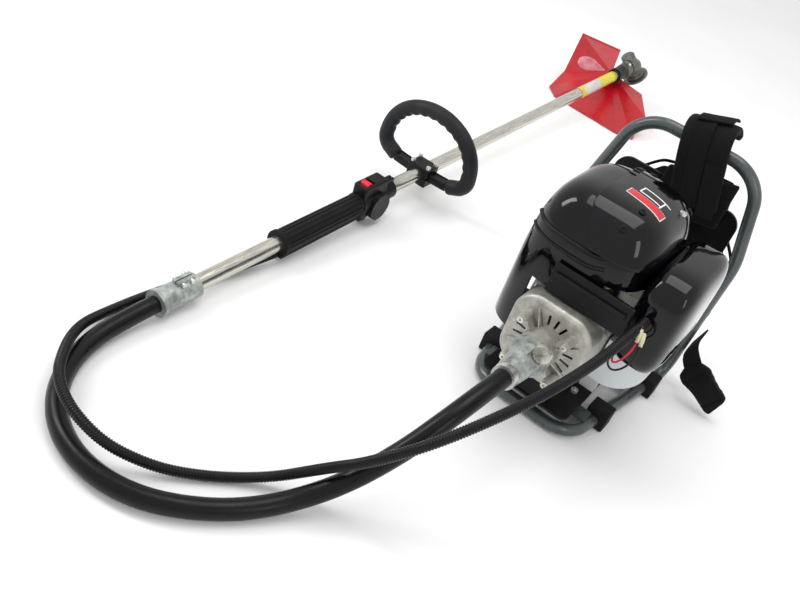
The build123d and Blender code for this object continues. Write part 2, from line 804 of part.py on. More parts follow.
def head_screws():
    screw = rod((-8, tool_length - 54, 21), (9, tool_length - 54, 21), 2.6)
    head_one = rod((6.5, tool_length - 54, 21), (11, tool_length - 54, 21), 4.4)
    return [screw + head_one]


def output_spindle():
    """Bevel wheel and the cutter's spindle in one turning piece."""
    near = cone_length * cos(wheel_angle)
    far = 14 * cos(wheel_angle)
    large = cone_length * sin(wheel_angle) - gap
    small = 14 * sin(wheel_angle) - gap
    base = Align.CENTER, Align.CENTER, Align.MIN
    wheel = Pos(0, 0, far) * Cone(small, large, near - far, align=base)
    for i in range(wheel_share):
        cut = Rot(Z=i * 360 / wheel_share) * Pos((large + small) / 2 + 1.0, 0, (near + far) / 2)
        wheel -= cut * Rot(Y=degrees(wheel_angle)) * Box(3.4, 1.8, 20)
    core = up(spindle_r, -36, near) + up(drive_rod_r, near, 28.5) + up(5, -54, -36)
    return head * (wheel + core)


def cutter_flange():
    """Upper blade washer with its one-inch pilot."""
    disc = up(flange_r, -35, -30.5) + up(17, -30.5, -28.6) + up(pilot_r, -38, -35)
    return head * (disc - up(spindle_r, -37, -28) - up(5, -39, -35))


def grip_sleeve():
    """Ribbed rubber grip; its flat lower side carries the cable."""
    outer = rod((0, grip_start, 0), (0, grip_end, 0), grip_r)
    lower = block((-13, 13), (grip_start, grip_end), (-26, 0), 4)
    grip = outer + lower
    for i in range(9):
        angle = i * 22.5
        rib = Rot(Y=-angle) * Pos(grip_r, (grip_start + grip_end) / 2, 0)
        grip -= rib * Box(2.2, grip_end - grip_start - 16, 2.4)
    grip += ring((0, grip_start, 0), (0, grip_start + 6, 0), grip_r + 1.8, grip_r - 3)
    grip -= rod((0, grip_start - 1, 0), (0, grip_end + 1, 0), tool_tube_od / 2)
    return grip - rod((0, grip_start - 1, cable_z), (0, grip_end + 1, cable_z), 4)


def throttle_case():
    y = (grip_end + gap, switch_end)
    case = rod((0, y[0], 0), (0, y[1], 0), 21)
    case += block((-15, 15), (y[0], y[1] - 8), (0, 38), 4)
    case += rod((13, y[0] + 40, -7), (26, y[0] + 40, -7), 25)
    case += block((-14, 14), y, (-30, 0), 5)
    case -= rod((0, y[0] - 1, 0), (0, y[1] + 1, 0), tool_tube_od / 2)
    case -= block((-9, 9), (y[0] + 4, y[0] + 30), (26, 39))
    case -= block((-6, 6), (y[0] + 10, y[1] - 10), (-31, -14))
    case -= rod((0, y[0] - 1, cable_z), (0, y[0] + 12, cable_z), 4)
    return case


rocker_y = grip_end + gap + 17
rocker_z = 33.0
trigger_y = grip_end + gap + 50
trigger_z = -tool_tube_od / 2 - 7


def stop_rocker():
    body = rod((-8.6, rocker_y, rocker_z), (8.6, rocker_y, rocker_z), 8)
    body = body & block((-9, 9), (rocker_y - 12, rocker_y + 12), (rocker_z - 4, rocker_z + 9))
    return body - rod((-10, rocker_y, rocker_z), (10, rocker_y, rocker_z), 1.5)


def trigger():
    """Throttle trigger under the tube, hung on its pin at the front."""
    hub = rod((-5.6, trigger_y, trigger_z), (5.6, trigger_y, trigger_z), 5.2)
    blade = make_face(
        Polyline(
            (trigger_y + 3, trigger_z - 4), (trigger_y - 20, trigger_z - 22),
            (trigger_y - 38, trigger_z - 19), (trigger_y - 36, trigger_z - 13),
            (trigger_y - 14, trigger_z - 4), (trigger_y + 3, trigger_z - 4),
        )
    )
    body = Pos(-5.6, 0, 0) * extrude(Plane.YZ * blade, 11.2)
    lever = hub + body
    return lever - rod((-7, trigger_y, trigger_z), (7, trigger_y, trigger_z), 2 + run)


def switch_pins():
    first = rod((-13.5, trigger_y, trigger_z), (13.5, trigger_y, trigger_z), 2)
    second = rod((-14.5, rocker_y, rocker_z), (14.5, rocker_y, rocker_z), 1.5 - run)
    return [first, second]


def tool_bolts():
    return Compound(coupler_screws() + loop_bolts() + head_screws() + switch_pins())


def strap_clamp():
    """Small double clamp with its strap eye, ahead of the throttle."""
    y = switch_end + 4
    clamp = ring((0, y, 0), (0, y + 18, 0), 18, tool_tube_od / 2)
    clamp += Pos(0, y + 9, 20) * Box(12, 18, 10)
    clamp -= Pos(0, y + 9, 20) * Box(1.6, 20, 16)
    return clamp - rod((0, y - 1, 0), (0, y + 19, 0), tool_tube_od / 2)


def loop_handle():
    """Soft closed grip that bows over the tube."""
    side = [(-loop_half + 30, loop_y, loop_low), (-loop_half - 6, loop_y, loop_low + 16)]
    shoulder = [(-loop_half, loop_y, loop_top - 20), (0, loop_y, loop_top + 22)]
    other = [(-x, y, z) for x, y, z in reversed(side + shoulder[:1])]
    return bent(side + shoulder + other, [26, 84, 110, 84, 26], loop_r)


def loop_spokes():
    """Two arms from the clamp to the loop's ends."""
    arms = []
    for side in (-1, 1):
        start = Vector(side * 23, loop_y, 0)
        end = Vector(side * (loop_half - 30), loop_y, loop_low)
        axis = end - start
        foot = Plane(start, x_dir=(0, 1, 0), z_dir=axis)
        arms.append(foot * extrude(RectangleRounded(22, 15, 4), axis.length - 2))
    return Compound(arms)


def loop_clamp():
    y = (loop_y - 19, loop_y + 19)
    upper = block((-23, 23), y, (gap, 19), 3)
    lower = block((-23, 23), y, (-19, -gap), 3)
    bore = rod((0, y[0] - 1, 0), (0, y[1] + 1, 0), tool_tube_od / 2)
    holes = [rod((x, yy, -20), (x, yy, 20), 2.5) for x in (-18, 18) for yy in (loop_y - 12, loop_y + 12)]
    for hole in holes:
        upper -= hole
        lower -= hole
    return Compound([upper - bore, lower - bore])


def loop_bolts():
    bolts = []
    for x in (-18, 18):
        for y in (loop_y - 12, loop_y + 12):
            bolts.append(rod((x, y, -19), (x, y, 19), 2.5) + rod((x, y, 19), (x, y, 24), 4.4))
    return bolts


head_at = (tool * Pos(0, tool_length, 0)).position


def guard_point(x, y, z):
    """A corner of the guard, from the point on the floor under the gear head."""
    return Vector(head_at.X + x, head_at.Y + y, z)


guard_thick = 3.2
guard_root = guard_point(-30, -46, 74)
guard_rim = [
    guard_point(-50, 4, 122),
    guard_point(-152, -44, 130),
    guard_point(-141, -92, 34),
    guard_point(-137, -165, 3),
    guard_point(-99, -205, 3),
    guard_point(96, -222, 3),
    guard_point(140, -206, 3),
    guard_point(136, -160, 50),
    guard_point(74, -62, 66),
]


def guard():
    """Moulded shield: flat facets that fan out from its mount, joined by round creases."""
    shield = None
    for first, second in zip(guard_rim, guard_rim[1:]):
        normal = (first - guard_root).cross(second - guard_root).normalized()
        base = guard_root - normal * guard_thick / 2
        outline = [base, first - normal * guard_thick / 2, second - normal * guard_thick / 2, base]
        facet = extrude(make_face(Polyline(*outline)), guard_thick, dir=normal)
        shield = facet if shield is None else shield + facet
    for corner in guard_rim[1:-1]:
        shield += rod(guard_root, corner, guard_thick * 0.62)
    shield += Pos(*guard_root) * Sphere(guard_thick * 0.8)
    floor = block(
        (head_at.X - 300, head_at.X + 300), (head_at.Y - 400, head_at.Y + 200), (0, 300)
    )
    return shield & floor


def guard_saddle():
    """Saddle on the tube that the shield is screwed to."""
    y = (tool_length - 116, tool_length - 76)
    saddle = ring((0, y[0], 0), (0, y[1], 0), 18, tool_tube_od / 2)
    saddle += block((-30, 0), (y[0] + 8, y[1] + 8), (-20, -14))
    return saddle - rod((0, y[0] - 1, 0), (0, y[1] + 10, 0), tool_tube_od / 2)


def tube_clamps():
    return Compound([strap_clamp(), guard_saddle()])


# ======================= write every node =======================
pack_nodes = {
    "base_frame": base_frame, "back_frame": back_frame, "frame_rails": frame_rails,
    "frame_feet": frame_feet, "rubber_mounts": rubber_mounts,
    "engine_plate": engine_plate, "engine_bracket": engine_bracket,
    "fan_cover": fan_cover, "engine_bolts": engine_bolts, "output_sleeve": output_sleeve,
    "clamp_screw": clamp_screw, "hose_ferrule": hose_ferrule, "crankcase": crankcase,
    "engine_bearings": engine_bearings, "crankshaft": crankshaft, "cylinder": cylinder,
    "piston": piston, "flywheel_fan": flywheel_fan, "clutch_shoes": clutch_shoes,
    "clutch_drum": clutch_drum, "starter_case": starter_case,
    "starter_pulley": starter_pulley, "starter_grip": starter_grip, "fuel_tank": fuel_tank,
    "fuel_cap": fuel_cap, "carburettor": carburettor,
    "air_cleaner": air_cleaner, "air_filter": air_filter, "choke_lever": choke_lever,
    "muffler": muffler, "left_shroud": left_shroud, "top_shroud": top_shroud,
    "right_shroud": right_shroud, "front_shroud": front_shroud,
    "back_board": back_board, "back_cushion": back_cushion, "strap_bundle": strap_bundle,
    "waist_pad": waist_pad, "stop_wires": stop_wires,
}
tool_nodes = {
    "coupler": coupler, "tool_tube": tool_tube, "tube_bushes": tube_bushes,
    "drive_rod": drive_rod, "gear_case": gear_case, "head_bearings": head_bearings,
    "output_spindle": output_spindle, "cutter_flange": cutter_flange,
    "grip_sleeve": grip_sleeve, "throttle_case": throttle_case, "stop_rocker": stop_rocker,
    "throttle_trigger": trigger, "loop_handle": loop_handle, "loop_spokes": loop_spokes,
    "loop_clamp": loop_clamp, "tool_bolts": tool_bolts, "tube_clamps": tube_clamps,
}
for node, make in pack_nodes.items():
    save(node, pack * make())
for node, make in tool_nodes.items():
    save(node, tool * make())
save("guard", guard())
save("drive_hose", cord("drive_hose", hose_route, hose_d))
save("throttle_conduit", cord("throttle_conduit", conduit_route, conduit_d))
print(len(written), "nodes")
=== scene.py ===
import json
import math
import bpy
import bmesh
from mathutils import Matrix, Vector, noise
from mathutils.bvhtree import BVHTree


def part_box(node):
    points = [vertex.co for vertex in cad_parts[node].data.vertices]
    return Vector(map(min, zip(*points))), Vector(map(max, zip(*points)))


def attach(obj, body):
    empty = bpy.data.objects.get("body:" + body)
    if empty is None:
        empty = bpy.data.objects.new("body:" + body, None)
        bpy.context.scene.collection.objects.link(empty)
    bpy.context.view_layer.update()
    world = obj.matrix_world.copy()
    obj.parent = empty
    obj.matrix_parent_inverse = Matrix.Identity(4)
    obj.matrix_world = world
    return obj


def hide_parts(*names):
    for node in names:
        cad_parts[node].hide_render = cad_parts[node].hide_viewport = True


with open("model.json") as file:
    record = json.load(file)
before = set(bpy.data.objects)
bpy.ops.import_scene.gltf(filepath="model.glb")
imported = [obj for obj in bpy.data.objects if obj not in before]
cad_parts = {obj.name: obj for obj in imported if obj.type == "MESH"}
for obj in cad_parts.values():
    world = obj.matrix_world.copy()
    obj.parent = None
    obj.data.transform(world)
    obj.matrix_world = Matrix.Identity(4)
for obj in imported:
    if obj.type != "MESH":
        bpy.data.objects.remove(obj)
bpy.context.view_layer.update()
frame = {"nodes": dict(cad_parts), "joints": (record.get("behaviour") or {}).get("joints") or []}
print("frame loaded,", len(frame["nodes"]), "nodes")

# places come from the joints: the engine's output axis, the tool's axis and its gear head
joints = {joint["name"]: joint for joint in frame["joints"]}
crankPlace = Vector(joints["crank_spin"]["pos_m"])
toolPlace = Vector(joints["drive_rod_spin"]["pos_m"])
toolRise = math.asin(joints["drive_rod_spin"]["axis"][2])
headPlace = Vector(joints["spindle_spin"]["pos_m"])
packFrame = Matrix.Translation((crankPlace.x, crankPlace.y, 0))
toolFrame = Matrix.Translation(toolPlace) @ Matrix.Rotation(toolRise, 4, "X")
mm = 0.001


def packPoint(x, y, z):
    return packFrame @ (Vector((x, y, z)) * mm)


def toolPoint(x, y, z):
    return toolFrame @ (Vector((x, y, z)) * mm)


# ---------- shader wires ----------
class Wire:
    def __init__(self, finish, socket):
        self.finish = finish
        self.socket = socket

    def math(self, operation, *others):
        return self.finish.node("ShaderNodeMath", {"operation": operation}, [self, *others])

    def __add__(self, other):
        return self.math("ADD", other)

    def __mul__(self, other):
        return self.math("MULTIPLY", other)

    def __sub__(self, other):
        return self.math("SUBTRACT", other)

    def __rsub__(self, other):
        return self.finish.node("ShaderNodeMath", {"operation": "SUBTRACT"}, [other, self])

    __radd__ = __add__
    __rmul__ = __mul__


class Finish:
    def __init__(self, name, color, rough, metal=0.0, **flat):
        self.material = bpy.data.materials.new(name)
        self.material.use_nodes = True
        self.tree = self.material.node_tree
        self.shader = self.tree.nodes["Principled BSDF"]
        self.shader.inputs["Base Color"].default_value = (*color, 1)
        self.shader.inputs["Roughness"].default_value = rough
        self.shader.inputs["Metallic"].default_value = metal
        for key, value in flat.items():
            self.shader.inputs[key.replace("_", " ")].default_value = value

    def node(self, kind, settings=None, values=(), out=0):
        made = self.tree.nodes.new(kind)
        for key, value in (settings or {}).items():
            if key == "stops":
                ramp = made.color_ramp
                while len(ramp.elements) < len(value):
                    ramp.elements.new(0.5)
                for element, (place, color) in zip(ramp.elements, value):
                    element.position = place
                    element.color = (*color, 1)
            else:
                setattr(made, key, value)
        pairs = values.items() if isinstance(values, dict) else enumerate(values)
        for key, value in pairs:
            if isinstance(value, Wire):
                self.tree.links.new(value.socket, made.inputs[key])
            elif value is not None:
                made.inputs[key].default_value = value
        return Wire(self, made.outputs[out])

    def place(self, kind="Object"):
        return self.node("ShaderNodeTexCoord", out=kind)

    def stretched(self, scale, kind="Object"):
        return self.node("ShaderNodeMapping", None, {"Vector": self.place(kind), "Scale": scale})

    def grain(self, scale, detail=3.0, rough=0.55, vector=None):
        values = {"Vector": vector or self.place(), "Scale": scale, "Detail": detail, "Roughness": rough}
        return self.node("ShaderNodeTexNoise", None, values)

    def between(self, wire, low, high, first=0.0, last=1.0):
        values = {"Value": wire, 1: low, 2: high, 3: first, 4: last}
        return self.node("ShaderNodeMapRange", None, values)

    def ramp(self, wire, stops):
        return self.node("ShaderNodeValToRGB", {"stops": stops}, [wire])

    def blend(self, share, first, second, how="MIX"):
        made = self.tree.nodes.new("ShaderNodeMix")
        made.data_type = "RGBA"
        made.blend_type = how
        for key, value in zip((0, 6, 7), (share, first, second)):
            if isinstance(value, Wire):
                self.tree.links.new(value.socket, made.inputs[key])
            else:
                made.inputs[key].default_value = value if key == 0 else (*value, 1)
        return Wire(self, made.outputs[2])

    def feed(self, key, wire):
        self.tree.links.new(wire.socket, self.shader.inputs[key])
        return self

    def bump(self, wire, strength, depth):
        values = {"Strength": strength, "Distance": depth, "Height": wire}
        return self.feed("Normal", self.node("ShaderNodeBump", None, values))


def moulded(name, color, rough, grainScale=900, depth=0.00012, haze=0.08, **flat):
    if max(color) < 0.05:
        flat.setdefault("Specular_IOR_Level", 0.22)
    made = Finish(name, color, rough, **flat)
    broad = made.grain(24, 4)
    dark = tuple(part * 0.72 for part in color)
    light = tuple(min(1, part * 1.25 + 0.002) for part in color)
    made.feed("Base Color", made.ramp(broad, [(0.3, dark), (0.7, light)]))
    rub = made.grain(60, 5)
    made.feed("Roughness", made.between(rub, 0.3, 0.7, rough - haze, rough + haze))
    return made.bump(made.grain(grainScale, 2), 0.5, depth)


def castMetal(name, color, rough, mottle=0.3, depth=0.0004):
    made = Finish(name, color, rough, 0.75)
    broad = made.grain(70, 5, 0.65)
    dark = tuple(part * (1 - mottle) for part in color)
    light = tuple(min(1, part * (1 + mottle * 0.5)) for part in color)
    made.feed("Base Color", made.ramp(broad, [(0.34, dark), (0.66, light)]))
    made.feed("Roughness", made.between(made.grain(120, 4), 0.3, 0.7, rough - 0.1, rough + 0.12))
    return made.bump(made.grain(420, 4, 0.7), 0.7, depth)


def framePaint():
    made = Finish("framePaint", (0.05, 0.062, 0.062), 0.3, 0.15, Coat_Weight=0.5, Coat_Roughness=0.22)
    broad = made.grain(18, 4)
    shade = made.ramp(broad, [(0.3, (0.036, 0.046, 0.046)), (0.7, (0.075, 0.09, 0.088))])
    chips = made.between(made.grain(160, 6, 0.7), 0.68, 0.74)
    made.feed("Base Color", made.blend(chips * 0.5, shade, (0.2, 0.2, 0.19)))
    made.feed("Roughness", made.between(made.grain(50, 4), 0.3, 0.7, 0.24, 0.42))
    return made.bump(made.grain(300, 3), 0.35, 0.0002)


def drawnTube():
    made = Finish("drawnTube", (0.62, 0.6, 0.53), 0.2, 0.95)
    streak = made.grain(1.0, 4, 0.6, made.stretched((700, 9, 700)))
    made.feed("Base Color", made.ramp(streak, [(0.3, (0.42, 0.41, 0.36)), (0.7, (0.78, 0.76, 0.68))]))
    made.feed("Roughness", made.between(streak, 0.3, 0.7, 0.13, 0.3))
    return made.bump(streak, 0.25, 0.00008)


def shroudGloss():
    made = Finish("shroudGloss", (0.002, 0.002, 0.003), 0.08, Specular_IOR_Level=0.15, Coat_Weight=0.35,
                  Coat_Roughness=0.03)
    swirl = made.grain(14, 5, 0.6)
    made.feed("Base Color", made.ramp(swirl, [(0.35, (0.001, 0.001, 0.0015)), (0.7, (0.004, 0.004, 0.006))]))
    scuff = made.grain(1.0, 6, 0.7, made.stretched((60, 240, 90)))
    made.feed("Roughness", made.between(scuff, 0.45, 0.75, 0.06, 0.22))
    return made.bump(made.grain(9, 2), 0.2, 0.0008)


def webbing():
    made = Finish("webbing", (0.004, 0.004, 0.005), 0.82, Specular_IOR_Level=0.2, Sheen_Weight=0.02,
                  Sheen_Roughness=0.5)
    across = made.node("ShaderNodeTexWave", {"wave_type": "BANDS", "bands_direction": "X"},
                       {"Vector": made.place("UV"), "Scale": 150.0, "Distortion": 0.6, "Detail": 1.0})
    along = made.node("ShaderNodeTexWave", {"wave_type": "BANDS", "bands_direction": "Y"},
                      {"Vector": made.place("UV"), "Scale": 190.0, "Distortion": 0.6, "Detail": 1.0})
    weave = across * along
    made.feed("Base Color", made.ramp(weave, [(0.1, (0.001, 0.001, 0.0015)), (0.8, (0.008, 0.008, 0.009))]))
    made.feed("Roughness", made.between(weave, 0.0, 1.0, 0.9, 0.66))
    return made.bump(weave, 0.8, 0.0005)


def padCloth():
    made = Finish("padCloth", (0.004, 0.004, 0.005), 0.85, Specular_IOR_Level=0.2, Sheen_Weight=0.02,
                  Sheen_Roughness=0.5)
    threadX = made.node("ShaderNodeTexWave", {"bands_direction": "X"},
                        {"Vector": made.place(), "Scale": 240.0, "Distortion": 1.2, "Detail": 2.0})
    threadZ = made.node("ShaderNodeTexWave", {"bands_direction": "Z"},
                        {"Vector": made.place(), "Scale": 240.0, "Distortion": 1.2, "Detail": 2.0})
    weave = threadX * threadZ
    rub = made.between(made.grain(16, 5), 0.35, 0.75)
    shade = made.ramp(weave, [(0.1, (0.001, 0.001, 0.0015)), (0.9, (0.006, 0.006, 0.007))])
    made.feed("Base Color", made.blend(rub * 0.5, shade, (0.008, 0.008, 0.009)))
    made.feed("Roughness", made.between(weave, 0.0, 1.0, 0.92, 0.7))
    return made.bump(weave, 0.7, 0.0004)


def tankPlastic():
    made = Finish("tankPlastic", (0.78, 0.78, 0.8), 0.35, Subsurface_Weight=0.35, Subsurface_Scale=0.008)
    # painted shade: below a height of about 7 cm the tank's colour turns darker, standing in for the shade on
    # its lower part
    level = made.node("ShaderNodeSeparateXYZ", None, [made.place()], out=2)
    paintedLowShade = made.between(level + made.grain(8, 2) * 0.004, 0.07, 0.076)
    made.feed("Base Color", made.blend(paintedLowShade, (0.62, 0.6, 0.62), (0.82, 0.82, 0.84)))
    made.feed("Roughness", made.between(made.grain(90, 4), 0.3, 0.7, 0.28, 0.45))
    return made.bump(made.grain(500, 2), 0.3, 0.0001)


def guardPlastic():
    made = Finish("guardPlastic", (0.62, 0.006, 0.016), 0.3, Coat_Weight=0.3, Coat_Roughness=0.2)
    broad = made.grain(12, 5, 0.6)
    made.feed("Base Color", made.ramp(broad, [(0.3, (0.36, 0.002, 0.007)), (0.7, (0.56, 0.004, 0.014))]))
    made.feed("Roughness", made.between(made.grain(80, 5, 0.6), 0.3, 0.7, 0.24, 0.42))
    return made.bump(made.grain(260, 3), 0.35, 0.0002)


def tubeLabel():
    made = Finish("tubeLabel", (0.75, 0.7, 0.4), 0.35, 0.1)
    coords = made.place("UV")
    band = made.node("ShaderNodeSeparateXYZ", None, [coords], out=1)
    blot = made.node("ShaderNodeTexNoise", None, {"Vector": coords, "Scale": 16.0, "Detail": 3.0})
    tint = made.ramp(band + (blot - 0.5) * 0.35, [
        (0.0, (0.75, 0.45, 0.05)), (0.1, (0.72, 0.62, 0.1)), (0.16, (0.68, 0.66, 0.6)),
        (0.5, (0.6, 0.56, 0.55)), (0.56, (0.7, 0.62, 0.05)), (0.95, (0.75, 0.66, 0.04))])
    speck = made.node("ShaderNodeTexVoronoi", None, {"Vector": coords, "Scale": 42.0})
    dark = made.between(speck, 0.16, 0.24, 0.75, 0.0)
    made.feed("Base Color", made.blend(dark, tint, (0.12, 0.1, 0.08)))
    return made.bump(blot, 0.2, 0.0001)


def leafFilm():
    made = Finish("leafFilm", (0.72, 0.45, 0.5), 0.25, Coat_Weight=0.4, Coat_Roughness=0.15)
    cloud = made.grain(45, 4, 0.6)
    made.feed("Base Color", made.ramp(cloud, [(0.3, (0.5, 0.06, 0.1)), (0.7, (0.66, 0.3, 0.34))]))
    return made.bump(made.grain(150, 3), 0.3, 0.0002)


print("finishes")
finishes = {
    "framePaint": framePaint(),
    "blackSteel": moulded("blackSteel", (0.006, 0.006, 0.0065), 0.42, 500, 0.0002, Metallic=0.3),
    "rubber": moulded("rubber", (0.005, 0.005, 0.005), 0.66, 1200, 0.0002),
    "loopRubber": moulded("loopRubber", (0.014, 0.015, 0.017), 0.5, 1500, 0.0002, 0.06),
    "castAlu": castMetal("castAlu", (0.5, 0.49, 0.44), 0.46),
    "castRough": castMetal("castRough", (0.42, 0.45, 0.43), 0.42, 0.5, 0.0012),
    "darkCast": castMetal("darkCast", (0.2, 0.2, 0.18), 0.36, 0.5, 0.0005),
    "machined": castMetal("machined", (0.62, 0.61, 0.58), 0.24, 0.15, 0.0001),
    "zinc": castMetal("zinc", (0.72, 0.7, 0.64), 0.26, 0.2, 0.0001),
    "glossBlack": shroudGloss(),
    "mattBlack": moulded("mattBlack", (0.004, 0.004, 0.0045), 0.4, 800, 0.0002),
    "tankPlastic": tankPlastic(),
    "redPlastic": moulded("redPlastic", (0.62, 0.006, 0.02), 0.28, 700, 0.0001),
    "guardPlastic": guardPlastic(),
    "webbing": webbing(),
    "padCloth": padCloth(),
    "drawnTube": drawnTube(),
    "hoseRubber": moulded("hoseRubber", (0.003, 0.003, 0.004), 0.3, 500, 0.00015, 0.07),
    "conduit": moulded("conduit", (0.003, 0.003, 0.0045), 0.32, 900, 0.0001),
    "wireRed": moulded("wireRed", (0.5, 0.01, 0.015), 0.35),
    "wireBlack": moulded("wireBlack", (0.01, 0.01, 0.01), 0.35),
    "cream": moulded("cream", (0.62, 0.58, 0.36), 0.4),
    "white": moulded("white", (0.85, 0.85, 0.85), 0.35),
    "tubeLabel": tubeLabel(),
    "leafFilm": leafFilm(),
    "foam": moulded("foam", (0.03, 0.03, 0.03), 0.9, 400, 0.001),
}

nodeFinish = {
    "framePaint": ["base_frame", "back_frame", "frame_rails"],
    "rubber": ["frame_feet", "rubber_mounts", "grip_sleeve", "tube_bushes"],
    "blackSteel": ["engine_plate", "engine_bracket", "muffler"],
    "castAlu": ["fan_cover", "crankcase", "cylinder", "flywheel_fan", "carburettor"],
    "castRough": ["output_sleeve", "coupler"],
    "darkCast": ["gear_case", "cutter_flange"],
    "machined": ["hose_ferrule", "engine_bearings", "crankshaft", "piston", "clutch_shoes",
                 "clutch_drum", "drive_rod", "head_bearings", "output_spindle"],
    "zinc": ["engine_bolts", "clamp_screw", "tool_bolts"],
    "glossBlack": ["left_shroud", "top_shroud", "right_shroud"],
    "mattBlack": ["starter_case", "starter_pulley", "starter_grip", "fuel_cap", "air_cleaner",
                  "choke_lever", "front_shroud", "back_board", "throttle_case",
                  "throttle_trigger", "loop_spokes", "loop_clamp", "tube_clamps"],
    "tankPlastic": ["fuel_tank"],
    "foam": ["air_filter"],
    "redPlastic": ["stop_rocker"],
    "guardPlastic": ["guard"],
    "drawnTube": ["tool_tube"],
    "loopRubber": ["loop_handle"],
    "hoseRubber": ["drive_hose"],
    "conduit": ["throttle_conduit"],
    "padCloth": ["back_cushion", "strap_bundle", "waist_pad"],
    "wireRed": ["stop_wires"],
}
for finishName, members in nodeFinish.items():
    for member in members:
        mesh = frame["nodes"][member].data
        mesh.materials.clear()
        mesh.materials.append(finishes[finishName].material)


# ---------- piece helpers ----------
def newPiece(name, mesh, finish, body="root", replaced=(), smooth=True):
    piece = mesh if isinstance(mesh, bpy.types.Object) else bpy.data.objects.new(name, mesh)
    if piece.name not in bpy.context.scene.collection.objects:
        bpy.context.scene.collection.objects.link(piece)
    if piece.type == "MESH":
        if finish:
            piece.data.materials.clear()
            piece.data.materials.append(finishes[finish].material)
        for face in piece.data.polygons:
            face.use_smooth = smooth
    elif finish:
        piece.data.materials.append(finishes[finish].material)
    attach(piece, body)
    if replaced:
        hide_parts(*replaced)
    return piece


def plainMesh(carrier, name):
    # the carrier's modifiers are worked out into one plain mesh, and the carrier goes
    graph = bpy.context.evaluated_depsgraph_get()
    mesh = bpy.data.meshes.new_from_object(carrier.evaluated_get(graph), depsgraph=graph)
    mesh.name = name
    bpy.data.objects.remove(carrier)
    return mesh


def carrierFor(mesh):
    carrier = bpy.data.objects.new("carrier", mesh)
    bpy.context.scene.collection.objects.link(carrier)
    return carrier


def meshFrom(name, verts, faces, uvs=None):
    mesh = bpy.data.meshes.new(name)
    mesh.from_pydata([tuple(v) for v in verts], [], faces)
    if uvs:
        layer = mesh.uv_layers.new(name="UVMap")
        for loop in mesh.loops:
            layer.data[loop.index].uv = uvs[loop.vertex_index]
    mesh.validate()
    return mesh


def outwards(mesh, merge=0.00002):
    shape = bmesh.new()
    shape.from_mesh(mesh)
    bmesh.ops.remove_doubles(shape, verts=shape.verts, dist=merge)
    bmesh.ops.recalc_face_normals(shape, faces=shape.faces)
    shape.to_mesh(mesh)
    shape.free()
    return mesh


def splineCurve(name, points, radius=0.0, sides=4, order=3):
    data = bpy.data.curves.new(name, "CURVE")
    data.dimensions = "3D"
    spline = data.splines.new("NURBS")
    spline.points.add(len(points) - 1)
    for place, point in zip(spline.points, points):
        place.co = (*point, 1)
    spline.order_u = order
    spline.use_endpoint_u = True
    spline.resolution_u = 12
    data.bevel_depth = radius
    data.bevel_resolution = sides
    data.use_fill_caps = True
    return data


def splineLine(points):
    # the smooth line itself, read from a curve with no thickness
    carrier = carrierFor(splineCurve("line", points))
    mesh = plainMesh(carrier, "line")
    line = [vertex.co.copy() for vertex in mesh.vertices]
    bpy.data.meshes.remove(mesh)
    return line


def lineLength(line):
    return sum((b - a).length for a, b in zip(line, line[1:]))


def along(line, step):
    # points at even distances on a line
    total = lineLength(line)
    count = max(2, round(total / step))
    wanted = [total * i / count for i in range(count + 1)]
    made, walked, index = [], 0.0, 0
    for goal in wanted:
        while index < len(line) - 2 and walked + (line[index + 1] - line[index]).length < goal:
            walked += (line[index + 1] - line[index]).length
            index += 1
        span = (line[index + 1] - line[index]).length or 1
        made.append(line[index].lerp(line[index + 1], min(1, (goal - walked) / span)))
    return made


# ---------- geometry trees ----------
class Tree:
    def __init__(self, name, inputs):
        self.group = bpy.data.node_groups.new(name, "GeometryNodeTree")
        face = self.group.interface
        face.new_socket("Geometry", in_out="INPUT", socket_type="NodeSocketGeometry")
        face.new_socket("Geometry", in_out="OUTPUT", socket_type="NodeSocketGeometry")
        kinds = {float: "NodeSocketFloat", int: "NodeSocketInt"}
        for key, value in inputs.items():
            socket = face.new_socket(key, in_out="INPUT", socket_type=kinds[type(value)])
            socket.default_value = value
        self.entry = self.group.nodes.new("NodeGroupInput")
        self.exit = self.group.nodes.new("NodeGroupOutput")

    def node(self, kind, settings=None, values=None):
        made = self.group.nodes.new(kind)
        for key, value in (settings or {}).items():
            setattr(made, key, value)
        for key, value in (values or {}).items():
            if isinstance(value, bpy.types.NodeSocket):
                self.group.links.new(value, made.inputs[key])
            else:
                made.inputs[key].default_value = value
        return made

    def calc(self, operation, *values):
        return self.node("ShaderNodeMath", {"operation": operation}, dict(enumerate(values))).outputs[0]

    def close(self, geometry, finish):
        real = self.node("GeometryNodeRealizeInstances", None, {0: geometry})
        material = self.node("GeometryNodeSetMaterial", None, {"Geometry": real.outputs[0]})
        material.inputs["Material"].default_value = finishes[finish].material
        self.group.links.new(material.outputs[0], self.exit.inputs[0])
        return self.group

    def run(self, carrier, name, **sizes):
        modifier = carrier.modifiers.new("shape", "NODES")
        modifier.node_group = self.group
        for item in self.group.interface.items_tree:
            if item.in_out == "INPUT" and item.name in sizes:
                modifier[item.identifier] = sizes[item.name]
        return plainMesh(carrier, name)


# ---------- camera and light ----------
print("camera and light")
view = {"place": (0.382, -1.489, 0.802), "heading": 25.0, "down": 36.0, "roll": 20.0, "lens": 38.25}
cameraData = bpy.data.cameras.new("camera")
cameraData.lens = view["lens"]
cameraData.sensor_width = 36
cameraData.clip_end = 30
camera = bpy.data.objects.new("camera", cameraData)
bpy.context.scene.collection.objects.link(camera)
turn = Matrix.Rotation(math.radians(view["heading"]), 4, "Z")
tilt = Matrix.Rotation(math.radians(90 - view["down"]), 4, "X")
roll = Matrix.Rotation(math.radians(view["roll"]), 4, "Z")
camera.matrix_world = Matrix.Translation(view["place"]) @ turn @ tilt @ roll
bpy.context.scene.camera = camera
bpy.context.scene.view_settings.view_transform = "Standard"

